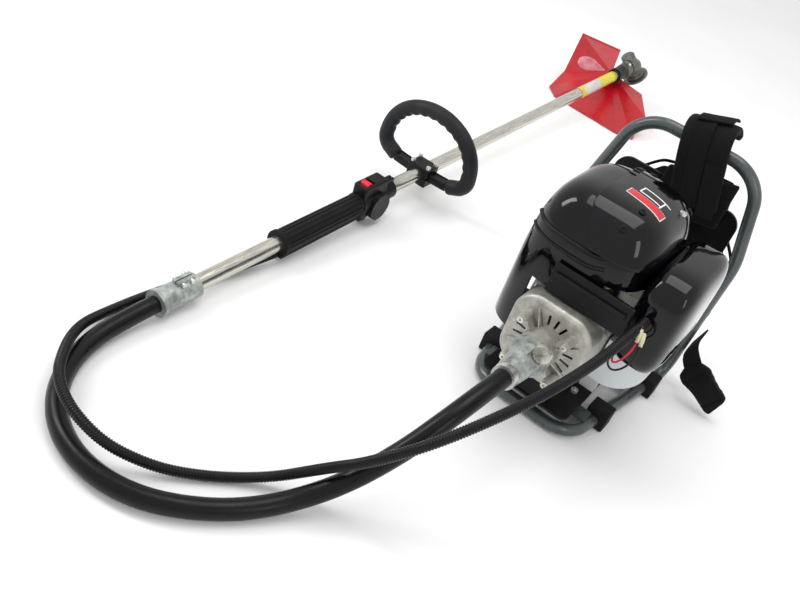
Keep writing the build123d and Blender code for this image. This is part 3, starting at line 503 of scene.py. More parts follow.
floorMaterial = Finish("floorWhite", (0.93, 0.93, 0.93), 0.9)
floorMaterial.feed("Base Color", floorMaterial.ramp(
    floorMaterial.grain(3, 2), [(0.3, (0.92, 0.92, 0.92)), (0.7, (0.95, 0.95, 0.95))]))
floorMesh = bpy.data.meshes.new("floor")
half = 12
floorMesh.from_pydata([(-half, -half, 0), (half, -half, 0), (half, half, 0), (-half, half, 0)], [],
                      [(0, 1, 2, 3)])
floorMesh.materials.append(floorMaterial.material)
floor = bpy.data.objects.new("floor", floorMesh)
floor.location.z = -0.0005
bpy.context.scene.collection.objects.link(floor)

world = bpy.data.worlds.new("studio")
bpy.context.scene.world = world
world.use_nodes = True
world.node_tree.nodes["Background"].inputs["Color"].default_value = (1, 1, 1, 1)
world.node_tree.nodes["Background"].inputs["Strength"].default_value = 0.8


def areaLight(name, place, target, size, power):
    data = bpy.data.lights.new(name, "AREA")
    data.shape = "RECTANGLE"
    data.size, data.size_y = size
    data.energy = power
    lamp = bpy.data.objects.new(name, data)
    bpy.context.scene.collection.objects.link(lamp)
    lamp.location = place
    lamp.rotation_euler = (Vector(target) - Vector(place)).to_track_quat("-Z", "Y").to_euler()


areaLight("overhead", (0.0, -0.2, 2.6), (0, 0, 0), (1.6, 1.6), 24)
areaLight("window", (-1.9, -1.2, 1.7), (0.1, -0.4, 0.1), (0.5, 1.5), 22)
areaLight("side", (1.9, -1.5, 1.3), (0.1, -0.4, 0.1), (0.4, 1.2), 6)


# ---------- hose and conduit ----------
print("hose and conduit")
hoseRoute = [
    (0.174, -0.685, 0.151), (0.171, -0.733, 0.148), (0.162, -0.780, 0.130), (0.144, -0.829, 0.092),
    (0.113, -0.876, 0.044), (0.079, -0.927, 0.018), (0.048, -0.976, 0.013), (0.011, -1.017, 0.013),
    (-0.035, -1.051, 0.014), (-0.089, -1.067, 0.014), (-0.145, -1.064, 0.014), (-0.197, -1.041, 0.013),
    (-0.238, -1.001, 0.013), (-0.264, -0.946, 0.014), (-0.270, -0.888, 0.018), (-0.269, -0.832, 0.022),
]
conduitRoute = [
    (0.270, -0.529, 0.243), (0.266, -0.570, 0.236), (0.259, -0.631, 0.222), (0.244, -0.702, 0.207),
    (0.226, -0.761, 0.193), (0.207, -0.810, 0.180), (0.188, -0.845, 0.164), (0.167, -0.867, 0.143),
    (0.145, -0.879, 0.119), (0.121, -0.885, 0.091), (0.095, -0.890, 0.065), (0.069, -0.898, 0.039),
    (0.043, -0.914, 0.018), (0.014, -0.940, 0.008), (-0.015, -0.970, 0.007), (-0.049, -1.001, 0.010),
    (-0.079, -1.024, 0.020), (-0.106, -1.043, 0.035), (-0.138, -1.050, 0.047), (-0.173, -1.047, 0.054),
    (-0.209, -1.030, 0.054), (-0.240, -1.000, 0.046), (-0.269, -0.967, 0.034), (-0.293, -0.930, 0.019),
    (-0.304, -0.887, 0.008), (-0.304, -0.838, 0.007), (-0.300, -0.788, 0.007), (-0.294, -0.738, 0.007),
    (-0.284, -0.690, 0.007), (-0.275, -0.641, 0.009), (-0.269, -0.5924, 0.0126),
]
hose = {"diameter": 0.026, "length": 0.87}
conduit = {"diameter": 0.014, "length": 1.34, "pitch": 0.0036, "groove": 0.17, "step": 0.0009, "sides": 14}


def makeHose():
    curve = splineCurve("driveHose", hoseRoute, hose["diameter"] / 2, 6)
    piece = newPiece("driveHose", curve, "hoseRubber", replaced=["drive_hose"])
    hose["length"] = lineLength(splineLine(hoseRoute))


def makeConduit():
    # round ribs: the tube's radius goes up and down along its length
    tree = Tree("ribbedTube", {"Radius": 0.007, "Pitch": 0.004, "Groove": 0.15, "Step": 0.001, "Sides": 12})
    entry = tree.entry.outputs
    even = tree.node("GeometryNodeResampleCurve", {"mode": "LENGTH"},
                     {"Curve": entry["Geometry"], "Length": entry["Step"]})
    reach = tree.node("GeometryNodeSplineParameter").outputs["Length"]
    phase = tree.calc("MULTIPLY", tree.calc("DIVIDE", reach, entry["Pitch"]), math.tau)
    wave = tree.calc("MULTIPLY", tree.calc("ADD", tree.calc("SINE", phase), 1.0), 0.5)
    dip = tree.calc("MULTIPLY", tree.calc("SUBTRACT", 1.0, wave), entry["Groove"])
    radius = tree.calc("MULTIPLY", tree.calc("SUBTRACT", 1.0, dip), entry["Radius"])
    sized = tree.node("GeometryNodeSetCurveRadius", None, {"Curve": even.outputs[0], "Radius": radius})
    ring = tree.node("GeometryNodeCurvePrimitiveCircle", None, {"Resolution": entry["Sides"], "Radius": 1.0})
    tube = tree.node("GeometryNodeCurveToMesh", None,
                     {"Curve": sized.outputs[0], "Profile Curve": ring.outputs[0], "Fill Caps": True})
    if "Scale" in tube.inputs:
        tree.group.links.new(radius, tube.inputs["Scale"])
    tree.close(tube.outputs[0], "conduit")
    carrier = carrierFor(splineCurve("conduitLine", conduitRoute))
    mesh = tree.run(carrier, "throttleConduit", Radius=conduit["diameter"] / 2, Pitch=conduit["pitch"],
                    Groove=conduit["groove"], Step=conduit["step"], Sides=conduit["sides"])
    piece = newPiece("throttleConduit", outwards(mesh, 1e-6), "conduit",
                     replaced=["throttle_conduit"])
    line = splineLine(conduitRoute)
    lineLength(line)
    along(line, 0.006)


makeHose()
makeConduit()


# ---------- engine covers ----------
def swell(value, exponent):
    return math.copysign(abs(value) ** exponent, value)


def domeShape(centre, reach, power, rows=48, columns=96):
    # rounded box with full corners, in pack millimetres
    shape = bmesh.new()
    px, py, pz = power
    grid = []
    for i in range(rows + 1):
        v = -math.pi / 2 + math.pi * i / rows
        flat, high = swell(math.cos(v), 2 / pz), swell(math.sin(v), 2 / pz)
        ring = []
        for j in range(columns):
            u = math.tau * j / columns
            x = flat * swell(math.cos(u), 2 / px)
            y = flat * swell(math.sin(u), 2 / py)
            place = Vector((x * reach[0], y * reach[1], high * reach[2])) + Vector(centre)
            ring.append(shape.verts.new(packFrame @ (place * mm)))
        grid.append(ring)
    for lower, upper in zip(grid, grid[1:]):
        for j in range(columns):
            k = (j + 1) % columns
            shape.faces.new((lower[j], lower[k], upper[k], upper[j]))
    bmesh.ops.remove_doubles(shape, verts=shape.verts, dist=0.00005)
    bmesh.ops.recalc_face_normals(shape, faces=shape.faces)
    return shape


def cutPlane(shape, place, normal):
    geometry = shape.verts[:] + shape.edges[:] + shape.faces[:]
    bmesh.ops.bisect_plane(shape, geom=geometry, plane_co=packPoint(*place), plane_no=normal)


def keepFaces(shape, test):
    gone = []
    back = packFrame.inverted()
    for face in shape.faces:
        x, y, z = (back @ face.calc_center_median()) / mm
        if not test(x, y, z):
            gone.append(face)
    bmesh.ops.delete(shape, geom=gone, context="FACES")


def shapeMesh(shape, name):
    mesh = bpy.data.meshes.new(name)
    shape.to_mesh(mesh)
    shape.free()
    return mesh


def thicken(mesh, name, thickness, bevel=0.0, offset=-1):
    carrier = carrierFor(mesh)
    wall = carrier.modifiers.new("wall", "SOLIDIFY")
    wall.thickness = thickness
    wall.offset = offset
    if bevel:
        edge = carrier.modifiers.new("edge", "BEVEL")
        edge.width = bevel
        edge.segments = 3
        edge.limit_method = "ANGLE"
        edge.angle_limit = math.radians(60)
        edge.use_clamp_overlap = True
    return plainMesh(carrier, name)


body = {"centre": (-17.5, 132, 150), "reach": (90, 108, 195), "power": (3.2, 3.6, 4.5), "wall": 0.003}
seam = {"x": -38, "front": 292, "slope": 0.17, "proud": 0.0055, "corner": (-33, 330, 0.67)}
intake = {"centre": (103, 131, 228), "reach": (36, 93, 78), "power": (4, 4, 4), "low": 160,
          "gripAt": (146, 194), "wall": 0.003}


def humpLow(y):
    return seam["front"] - (y - 30) * seam["slope"]


def inHump(x, y, z):
    cornerX, cornerZ, cut = seam["corner"]
    return x > seam["x"] and z > humpLow(y) and x + cut * (z - cornerZ) > cornerX


def sliceSeam(shape):
    cornerX, cornerZ, cut = seam["corner"]
    cutPlane(shape, (seam["x"], 0, 0), (1, 0, 0))
    cutPlane(shape, (0, 30, seam["front"]), (0, seam["slope"], 1))
    cutPlane(shape, (cornerX, 0, cornerZ), (1, 0, cut))


def makeLobe():
    shape = domeShape(body["centre"], body["reach"], body["power"])
    sliceSeam(shape)
    for place, normal in (((0, 0, 122), (0, 0, 1)), ((0, 0, 214), (0, 0, 1)), ((0, 0, 258), (0, 0, 1)),
                          ((-61, 0, 0), (1, 0, 0)), ((30, 0, 0), (1, 0, 0))):
        cutPlane(shape, place, normal)

    def kept(x, y, z):
        low = 122 if x < -61 else 214 if x < 30 else 258
        return z > low and not inHump(x, y, z)

    keepFaces(shape, kept)
    mesh = thicken(shapeMesh(shape, "lobe"), "leftLobe", body["wall"], 0.001)
    return newPiece("leftLobe", mesh, "glossBlack", replaced=["left_shroud"])


def makeHump():
    shape = domeShape(body["centre"], body["reach"], body["power"])
    sliceSeam(shape)
    keepFaces(shape, inHump)
    mesh = thicken(shapeMesh(shape, "hump"), "centreHump", seam["proud"], 0.0022, 1)
    return newPiece("centreHump", mesh, "glossBlack", replaced=["top_shroud"])


def makeIntakeCover():
    shape = domeShape(intake["centre"], intake["reach"], intake["power"], 36, 72)
    gripY, gripZ = intake["gripAt"]
    for place, normal in (((0, 0, intake["low"]), (0, 0, 1)), ((0, 0, gripZ), (0, 0, 1)),
                          ((0, gripY, 0), (0, 1, 0))):
        cutPlane(shape, place, normal)
    keepFaces(shape, lambda x, y, z: z > (gripZ if y > gripY else intake["low"]))
    mesh = thicken(shapeMesh(shape, "intake"), "intakeCover", intake["wall"], 0.001)
    return newPiece("intakeCover", mesh, "glossBlack",
                    replaced=["air_cleaner", "right_shroud"])


print("engine covers")
makeLobe()
humpPiece = makeHump()
makeIntakeCover()


def bodyFront(x, z, out=0.0):
    # where the covers' front face is at this width and height
    cx, cy, cz = body["centre"]
    a, b, c = body["reach"]
    px, py, pz = body["power"]
    share = (1 - min(0.999, abs((z - cz) / c)) ** pz) ** (1 / pz)
    side = min(0.9999, abs((x - cx) / (a * share)))
    return cy - b * share * (1 - side ** px) ** (1 / py) - out


ledge = {"bars": ((286, 3.2), (270, 2.6)), "from": -96, "to": 20, "steps": 15, "lift": 0.6}


def makeLedge():
    # two bars that run round the covers' front, under the hump
    for k, (z, radius) in enumerate(ledge["bars"]):
        points = []
        for i in range(ledge["steps"]):
            x = ledge["from"] + (ledge["to"] - ledge["from"]) * i / (ledge["steps"] - 1)
            rise = 7 * max(0, (x + 10) / 30) ** 2
            points.append(packPoint(x, bodyFront(x, z + rise, ledge["lift"]), z + rise))
        curve = splineCurve(f"frontBar{k}", points, radius * mm, 4)
        newPiece(f"frontBar{k}", plainMesh(carrierFor(curve), f"frontBar{k}"), "mattBlack")


makeLedge()


def surfaceUnder(piece):
    shape = bmesh.new()
    shape.from_mesh(piece.data)
    tree = BVHTree.FromBMesh(shape)
    shape.free()
    return tree


def laidOn(tree, corners, lift, thickness, name, finish, steps=10):
    # a thin film: a grid between four corners, dropped on the surface below
    verts, faces = [], []
    a, b, c, d = corners
    for i in range(steps + 1):
        for j in range(steps + 1):
            u, v = i / steps, j / steps
            place = a.lerp(b, u).lerp(d.lerp(c, u), v)
            hit, normal, _, _ = tree.ray_cast(place + Vector((0, 0, 0.6)), Vector((0, 0, -1)))
            verts.append((hit + normal * lift) if hit else place)
    row = steps + 1
    for i in range(steps):
        for j in range(steps):
            k = i * row + j
            faces.append((k, k + row, k + row + 1, k + 1))
    mesh = meshFrom(name, verts, faces)
    if sum(face.normal.z for face in mesh.polygons) < 0:
        mesh.flip_normals()
    return newPiece(name, thicken(mesh, name, thickness), finish)


badge = {"x": (-16, 40), "y": (102, 142), "bar": 15, "lean": 0.22, "lift": 0.0005, "thick": 0.0004,
         "stroke": 2.0}
humpTree = surfaceUnder(humpPiece)


def badgeQuad(x0, x1, y0, y1, skew=3.0):
    def corner(x, y):
        return packPoint(x + (y - badge["y"][0]) / 40 * skew, y - badge["lean"] * (x - badge["x"][0]), 0)
    return [corner(x0, y0), corner(x1, y0), corner(x1, y1), corner(x0, y1)]


def makeBadge():
    x0, x1 = badge["x"]
    y0, y1 = badge["y"]
    lift, thick, stroke = badge["lift"], badge["thick"], badge["stroke"]
    top = y0 + badge["bar"]
    laidOn(humpTree, badgeQuad(x0 - 1.4, x1 + 1.4, y0 - 1.4, top + 1.4), lift, thick, "badgeBorder",
           "white")
    laidOn(humpTree, badgeQuad(x0, x1, y0, top), lift + 0.0004, thick, "badgeField", "redPlastic")
    # an open arrow drawn in white lines over the red bar
    lines = [(x0 + 8, x1 - 4, y1 - stroke, y1), (x0 + 8, x0 + 8 + stroke, top + 7, y1),
             (x0 + 8, x1 - 12, top + 7, top + 7 + stroke), (x1 - 14, x1 - 14 + stroke, top + 3, y1)]
    for i, (xa, xb, ya, yb) in enumerate(lines):
        laidOn(humpTree, badgeQuad(xa, xb, ya, yb), lift, thick, f"badgeLine{i}", "white", 6)


makeBadge()


def dropOn(tree, x, y):
    hit, normal, _, _ = tree.ray_cast(packPoint(x, y, 600), Vector((0, 0, -1)))
    return hit, normal


vents = {"count": 4, "from": (-33, 204), "to": (-33, 160), "size": (0.011, 0.0026, 0.003)}


def makeVents():
    # short louvres beside the seam, one tree with a count and sizes
    tree = Tree("louvres", {"Count": 4, "Long": 0.01, "Wide": 0.003, "High": 0.003})
    entry = tree.entry.outputs
    size = tree.node("ShaderNodeCombineXYZ", None,
                     {"X": entry["Long"], "Y": entry["Wide"], "Z": entry["High"]})
    bar = tree.node("GeometryNodeMeshCube", None,
                    {"Size": size.outputs[0], "Vertices X": 3, "Vertices Y": 3, "Vertices Z": 3})
    rounded = tree.node("GeometryNodeSubdivisionSurface", None, {"Mesh": bar.outputs["Mesh"], "Level": 2})
    points = tree.node("GeometryNodeResampleCurve", {"mode": "COUNT"},
                       {"Curve": entry["Geometry"], "Count": entry["Count"]})
    copies = tree.node("GeometryNodeInstanceOnPoints", None,
                       {"Points": points.outputs[0], "Instance": rounded.outputs[0]})
    tree.close(copies.outputs[0], "glossBlack")
    ends = [dropOn(humpTree, *vents[key])[0] for key in ("from", "to")]
    line = [ends[0].lerp(ends[1], k / 3) for k in range(4)]
    line = [dropOn(humpTree, *((packFrame.inverted() @ p).xy / mm))[0] for p in line]
    carrier = carrierFor(splineCurve("ventLine", line, 0, 4, 2))
    long, wide, high = vents["size"]
    mesh = tree.run(carrier, "seamLouvres", Count=vents["count"], Long=long, Wide=wide, High=high)
    newPiece("seamLouvres", outwards(mesh, 1e-6), None)


makeVents()


def lathe(profile, place, axis, sides=28):
    # turns a list of (radius, height) pairs about an axis
    shape = bmesh.new()
    turnTo = Vector((0, 0, 1)).rotation_difference(Vector(axis)).to_matrix().to_4x4()
    frameHere = Matrix.Translation(place) @ turnTo
    rings = []
    for radius, height in profile:
        if radius < 1e-7:
            rings.append([shape.verts.new(frameHere @ Vector((0, 0, height)))])
            continue
        rings.append([shape.verts.new(frameHere @ Vector((radius * math.cos(math.tau * k / sides),
                                                           radius * math.sin(math.tau * k / sides), height)))
                      for k in range(sides)])
    for lower, upper in zip(rings, rings[1:]):
        for k in range(sides):
            n = (k + 1) % sides
            corners = [lower[k % len(lower)], lower[n % len(lower)], upper[n % len(upper)],
                       upper[k % len(upper)]]
            unique = list(dict.fromkeys(corners))
            if len(unique) > 2:
                shape.faces.new(unique)
    bmesh.ops.recalc_face_normals(shape, faces=shape.faces)
    return shapeMesh(shape, "lathe")


def joined(meshes, name):
    shape = bmesh.new()
    for mesh in meshes:
        shape.from_mesh(mesh)
        bpy.data.meshes.remove(mesh)
    return shapeMesh(shape, name)


screwHead = [(0, -0.003), (0.0052, -0.003), (0.0052, 0.0012), (0.0048, 0.0021), (0.0036, 0.0027),
             (0.0026, 0.0027),
             (0.0024, 0.0009), (0, 0.0009)]
coverScrews = ((19, 78), (14, 44), (-16, 206), (52, 190))


def makeCoverScrews():
    heads = []
    for x, y in coverScrews:
        hit, normal = dropOn(humpTree, x, y)
        heads.append(lathe(screwHead, hit, normal))
    newPiece("coverScrews", joined(heads, "coverScrews"), "blackSteel")


makeCoverScrews()

fanRibs = {"angles": (28, 118, 205, 262, 330), "inner": 25, "outer": 52, "high": (9, 2.5), "wide": 3.6}


def makeFanRibs():
    # tapered ribs that stand between the hub and the fan cover's rim
    shapes = []
    _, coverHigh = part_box("fan_cover")
    for angle in fanRibs["angles"]:
        a = math.radians(angle)
        out = Vector((math.cos(a), 0, math.sin(a)))
        side = Vector((-math.sin(a), 0, math.cos(a))) * fanRibs["wide"] / 2
        centre = Vector((0, 0, crankPlace.z / mm))
        verts = []
        for reach, high in zip((fanRibs["inner"], fanRibs["outer"]), fanRibs["high"]):
            foot = centre + out * reach
            for base in (0.6, -high):
                for way in (-1, 1):
                    wide = 1 if base > 0 else 0.55
                    corner = foot + side * way * wide + Vector((0, base, 0))
                    verts.append(packFrame @ (corner * mm))
        faces = [(0, 1, 3, 2), (4, 6, 7, 5), (0, 4, 5, 1), (2, 3, 7, 6), (0, 2, 6, 4), (1, 5, 7, 3)]
        shapes.append(meshFrom("rib", verts, faces))
    carrier = carrierFor(joined(shapes, "fanRibs"))
    edge = carrier.modifiers.new("edge", "BEVEL")
    edge.width = 0.0008
    edge.segments = 2
    newPiece("fanRibs", outwards(plainMesh(carrier, "fanRibs")), "castAlu", smooth=False)


makeFanRibs()


# ---------- loop handle ----------
def roundedPath(corners, radii, step=0.0015):
    # straight runs with an arc at each inner corner
    made = [corners[0]]
    for i in range(1, len(corners) - 1):
        before, here, after = corners[i - 1], corners[i], corners[i + 1]
        inward, outward = (here - before).normalized(), (after - here).normalized()
        bend = inward.angle(outward)
        cut = radii[i - 1] * math.tan(bend / 2)
        start, end = here - inward * cut, here + outward * cut
        centreWay = (outward - inward).normalized()
        centre = here + centreWay * (radii[i - 1] / math.cos(bend / 2))
        count = max(4, int(radii[i - 1] * bend / step))
        for k in range(count + 1):
            share = k / count
            arm = (start - centre).slerp(end - centre, share)
            made.append(centre + arm * radii[i - 1])
    made.append(corners[-1])
    return along(made, step)


def sweep(path, acrossAxis, radiusAt, sides=24):
    # radiusAt(distance, angle) gives the radius; angle 0 points to the inside of the bend
    shape = bmesh.new()
    total, walked, rings = lineLength(path), 0.0, []
    for i, place in enumerate(path):
        way = (path[min(i + 1, len(path) - 1)] - path[max(i - 1, 0)]).normalized()
        inside = acrossAxis.cross(way).normalized()
        if i:
            walked += (place - path[i - 1]).length
        ring = []
        for k in range(sides):
            angle = math.tau * k / sides
            radius = radiusAt(walked, total, angle)
            outward = inside * math.cos(angle) + acrossAxis * math.sin(angle)
            ring.append(shape.verts.new(place + outward * radius))
        rings.append(ring)
    for lower, upper in zip(rings, rings[1:]):
        for k in range(sides):
            n = (k + 1) % sides
            shape.faces.new((lower[k], lower[n], upper[n], upper[k]))
    shape.faces.new(rings[0])
    shape.faces.new(rings[-1])
    bmesh.ops.recalc_face_normals(shape, faces=shape.faces)
    return shape


loop = {"y": 634, "half": 92, "top": 112, "low": 2, "radius": 0.0145, "pitch": 0.021, "wave": 0.0022,
        "bends": (0.026, 0.084, 0.110, 0.084, 0.026)}


def makeLoopHandle():
    half, top, low, y = loop["half"], loop["top"], loop["low"], loop["y"]
    side = [(-half + 30, low), (-half - 6, low + 16), (-half, top - 20), (0, top + 22)]
    spots = side + [(-x, z) for x, z in reversed(side[:3])]
    path = roundedPath([toolPoint(x, y, z) for x, z in spots], loop["bends"])
    across = (toolFrame.to_3x3() @ Vector((0, 1, 0))).normalized()

    def radiusAt(walked, total, angle):
        ends = min(walked, total - walked)
        grip = min(1, max(0, (ends - 0.05) / 0.02))
        finger = 0.5 - 0.5 * math.cos(math.tau * walked / loop["pitch"])
        flatEnd = min(1, ends / 0.004)
        dent = loop["wave"] * finger * grip * max(0, math.cos(angle)) ** 1.2
        return loop["radius"] * (0.8 + 0.2 * math.sqrt(flatEnd)) - dent

    middle = toolPoint(0, y, 50)
    way = (path[1] - path[0]).normalized()
    if across.cross(way).dot(middle - path[0]) < 0:
        across = -across
    mesh = shapeMesh(sweep(path, across, radiusAt), "loopHandle")
    newPiece("loopHandle", mesh, "loopRubber", replaced=["loop_handle"])
    # a moulding line along the middle of each face
    for k, way in enumerate((-1, 1)):
        line = [p + across * way * loop["radius"] for p in path[20:-20:10]]
        curve = splineCurve(f"loopSeam{k}", line, 0.0005, 2)
        newPiece(f"loopSeam{k}", plainMesh(carrierFor(curve), f"loopSeam{k}"), "loopRubber")


def makeSpokeRibs():
    # raised edges on the two arms
    bars = []
    for way in (-1, 1):
        start, end = Vector((way * 22, 0)), Vector((way * (loop["half"] - 30), loop["low"]))
        for y in (-9.4, 9.4):
            ends = [toolPoint(p.x, loop["y"] + y, p.y + 7.6) for p in (start, end)]
            points = [ends[0].lerp(ends[1], k / 4) for k in range(5)]
            bars.append(plainMesh(carrierFor(splineCurve("edge", points, 0.0017, 3)), "edge"))
    newPiece("spokeRibs", joined(bars, "spokeRibs"), "mattBlack")


print("loop handle")
makeLoopHandle()
makeSpokeRibs()


# ---------- guard and tube label ----------
def guardPoint(x, y, z):
    return Vector((headPlace.x + x * mm, headPlace.y + y * mm, z * mm))


guard = {"root": (-30, -46, 74), "top": (-50, 4, 122), "leftTop": (-152, -44, 130), "left": (-141, -92, 34),
         "thick": 0.0032, "lip": 0.0034}


def makeGuardLip():
    ends = [guardPoint(*guard["top"]), guardPoint(*guard["leftTop"])]
    points = [ends[0].lerp(ends[1], k / 6) for k in range(7)]
    mesh = plainMesh(carrierFor(splineCurve("guardLip", points, guard["lip"], 4)), "guardLip")
    newPiece("guardLip", mesh, "guardPlastic")


def makeLeafFilm():
    # leaf-shaped film on the guard's upper facet
    root, first, second = (guardPoint(*guard[key]) for key in ("root", "leftTop", "left"))
    normal = (first - root).cross(second - root).normalized()
    if normal.dot(camera.location - root) < 0:
        normal = -normal
    verts, faces = [], []
    rows, columns = 18, 8
    for i in range(rows + 1):
        reach = 0.16 + 0.66 * i / rows
        swellHere = math.sin(math.pi * (0.04 + 0.92 * i / rows)) ** 0.7
        for j in range(columns + 1):
            side = 0.62 + (j / columns - 0.5) * 0.62 * swellHere
            place = root + ((first - root) * (1 - side) + (second - root) * side) * reach
            verts.append(place + normal * (guard["thick"] / 2 + 0.0005))
    for i in range(rows):
        for j in range(columns):
            k = i * (columns + 1) + j
            faces.append((k, k + 1, k + columns + 2, k + columns + 1))
    mesh = meshFrom("leafFilm", verts, faces)
    if mesh.polygons[0].normal.dot(normal) < 0:
        mesh.flip_normals()
    newPiece("leafFilm", thicken(mesh, "leafFilm", 0.0004, 0, 1), "leafFilm")


label = {"from": 1300, "to": 1502, "radius": 13.3, "sides": 40, "rows": 12, "thick": 0.0002}


def makeTubeLabel():
    verts, faces, uvs = [], [], []
    sides, rows = label["sides"], label["rows"]
    for i in range(rows + 1):
        y = label["from"] + (label["to"] - label["from"]) * i / rows
        for k in range(sides + 1):
            angle = math.radians(-60 + 300 * k / sides)
            verts.append(toolPoint(label["radius"] * math.cos(angle), y, label["radius"] * math.sin(angle)))
            uvs.append((k / sides * 0.35, i / rows))
    for i in range(rows):
        for k in range(sides):
            a = i * (sides + 1) + k
            faces.append((a, a + sides + 1, a + sides + 2, a + 1))
    mesh = meshFrom("tubeLabel", verts, faces, uvs)
    axis = toolPoint(0, label["from"], 0)
    if mesh.polygons[0].normal.dot(mesh.polygons[0].center - axis) < 0:
        mesh.flip_normals()
    newPiece("tubeLabel", thicken(mesh, "tubeLabel", label["thick"], 0, 1), "tubeLabel")


print("guard and label")
makeGuardLip()
makeLeafFilm()
makeTubeLabel()


# ---------- stop wires ----------
wireRoutes = {
    "wireRed": [(96, 22, 243), (104, 6, 226), (100, -8, 205), (90, -6, 190), (84, 8, 194), (86, 18, 214)],
    "wireBlack": [(101, 22, 240), (112, 4, 220), (108, -10, 198), (94, -10, 182), (80, 6, 184),
                  (80, 17.5, 206)],
}
wire = {"radius": 0.0014, "bullet": 0.0032}


def makeWires():
    for k, (finish, route) in enumerate(wireRoutes.items()):
        points = [packPoint(*p) for p in route]
        piece = newPiece(f"stopLead{k}", splineCurve(f"stopLead{k}", points, wire["radius"], 3), finish,
                         replaced=["stop_wires"] if k == 0 else ())
        line = splineLine(points)
        spot, ahead = along(line, 0.002)[6], along(line, 0.002)[8]
        way = (ahead - spot).normalized()
        r = wire["bullet"]
        shell = [(0, -0.008), (r * 0.7, -0.008), (r, -0.006), (r, 0.004), (r * 0.8, 0.006),
                 (r * 0.8, 0.010), (0, 0.010)]
        bullet = newPiece(f"leadBullet{k}", lathe(shell, spot, way, 16), "cream")
        lineLength(line)


makeWires()


# ---------- soft goods ----------
def prism(outline, low, high, name):
    # an outline in the pack's x and z, given depth in y
    shape = bmesh.new()
    front = [shape.verts.new(packPoint(x, low, z)) for x, z in outline]
    back = [shape.verts.new(packPoint(x, high, z)) for x, z in outline]
    shape.faces.new(front)
    shape.faces.new(back)
    for i in range(len(outline)):
        j = (i + 1) % len(outline)
        shape.faces.new((front[i], front[j], back[j], back[i]))
    bmesh.ops.recalc_face_normals(shape, faces=shape.faces)
    return shapeMesh(shape, name)


def settled(mesh, name, voxel, pressure, cap):
    # even mesh, then a short cloth run under pressure, held to a largest move
    carrier = carrierFor(mesh)
    remesh = carrier.modifiers.new("even", "REMESH")
    remesh.mode = "VOXEL"
    remesh.voxel_size = voxel
    mesh = plainMesh(carrier, name)
    rest = [v.co.copy() for v in mesh.vertices]
    carrier = carrierFor(mesh)
    cloth = carrier.modifiers.new("puff", "CLOTH")
    cloth.settings.quality = 4
    cloth.settings.use_pressure = True
    cloth.settings.uniform_pressure_force = pressure
    cloth.settings.effector_weights.gravity = 0
    cloth.point_cache.frame_start, cloth.point_cache.frame_end = 1, 20
    for step in range(1, 21):
        bpy.context.scene.frame_set(step)
    mesh = plainMesh(carrier, name)
    bpy.context.scene.frame_set(1)
    for vertex, start in zip(mesh.vertices, rest):
        move = vertex.co - start
        if move.length > cap:
            vertex.co = start + move * (cap / move.length)
    carrier = carrierFor(mesh)
    smooth = carrier.modifiers.new("ease", "SMOOTH")
    smooth.factor = 0.5
    smooth.iterations = 3
    finer = carrier.modifiers.new("finer", "SUBSURF")
    finer.levels = finer.render_levels = 1
    return plainMesh(carrier, name)


def channelled(mesh, lines, depth, width):
    # sewn channels: the cloth is drawn towards the pad's middle plane along each line
    back = packFrame.inverted()
    places = [back @ v.co for v in mesh.vertices]
    middle = (min(p.y for p in places) + max(p.y for p in places)) / 2
    for vertex, place in zip(mesh.vertices, places):
        flat = Vector((place.x, place.z)) / mm
        nearest = 1e9
        for a, b in lines:
            a, b = Vector(a), Vector(b)
            share = min(1, max(0, (flat - a).dot(b - a) / (b - a).length_squared))
            nearest = min(nearest, (flat - a.lerp(b, share)).length)
        pull = depth * math.exp(-(nearest / width) ** 2)
        wrinkle = 0.0006 * noise.noise(vertex.co * 45) + 0.0004 * noise.noise(vertex.co * 110)
        away = 1 if place.y > middle else -1
        vertex.co.y += away * (wrinkle - pull)
    mesh.update()
    return mesh


def stitchTree():
    tree = Tree("stitches", {"Spacing": 0.004, "Long": 0.0026, "Thick": 0.0005})
    entry = tree.entry.outputs
    spread = tree.node("GeometryNodeResampleCurve", {"mode": "LENGTH"},
                       {"Curve": entry["Geometry"], "Length": entry["Spacing"]})
    way = tree.node("GeometryNodeInputTangent")
    turned = tree.node("FunctionNodeAlignRotationToVector", {"axis": "Z"}, {"Vector": way.outputs[0]})
    thread = tree.node("GeometryNodeMeshCylinder", {"fill_type": "TRIANGLE_FAN"},
                       {"Vertices": 6, "Radius": entry["Thick"], "Depth": entry["Long"]})
    copies = tree.node("GeometryNodeInstanceOnPoints", None,
                       {"Points": spread.outputs[0], "Instance": thread.outputs["Mesh"],
                        "Rotation": turned.outputs[0]})
    tree.close(copies.outputs[0], "blackSteel")
    return tree


threads = stitchTree()


def stitched(points, name):
    carrier = carrierFor(splineCurve("seamLine", points, 0, 4, 2))
    mesh = threads.run(carrier, name, Spacing=0.0042, Long=0.0028, Thick=0.0005)
    return newPiece(name, outwards(mesh, 1e-6), None)


cushion = {"outline": [(-128, 80), (128, 80), (136, 130), (124, 225), (78, 280), (68, 336), (-44, 318),
                       (-124, 225), (-136, 130)],
           "y": (342, 357), "inset": 0.965, "voxel": 0.005, "pressure": 4, "cap": 0.007,
           "channels": [((-118, 128), (118, 128)), ((-118, 176), (118, 176)), ((-106, 224), (106, 224)),
                        ((-60, 270), (66, 270))],
           "depth": 0.0045, "width": 5.0}


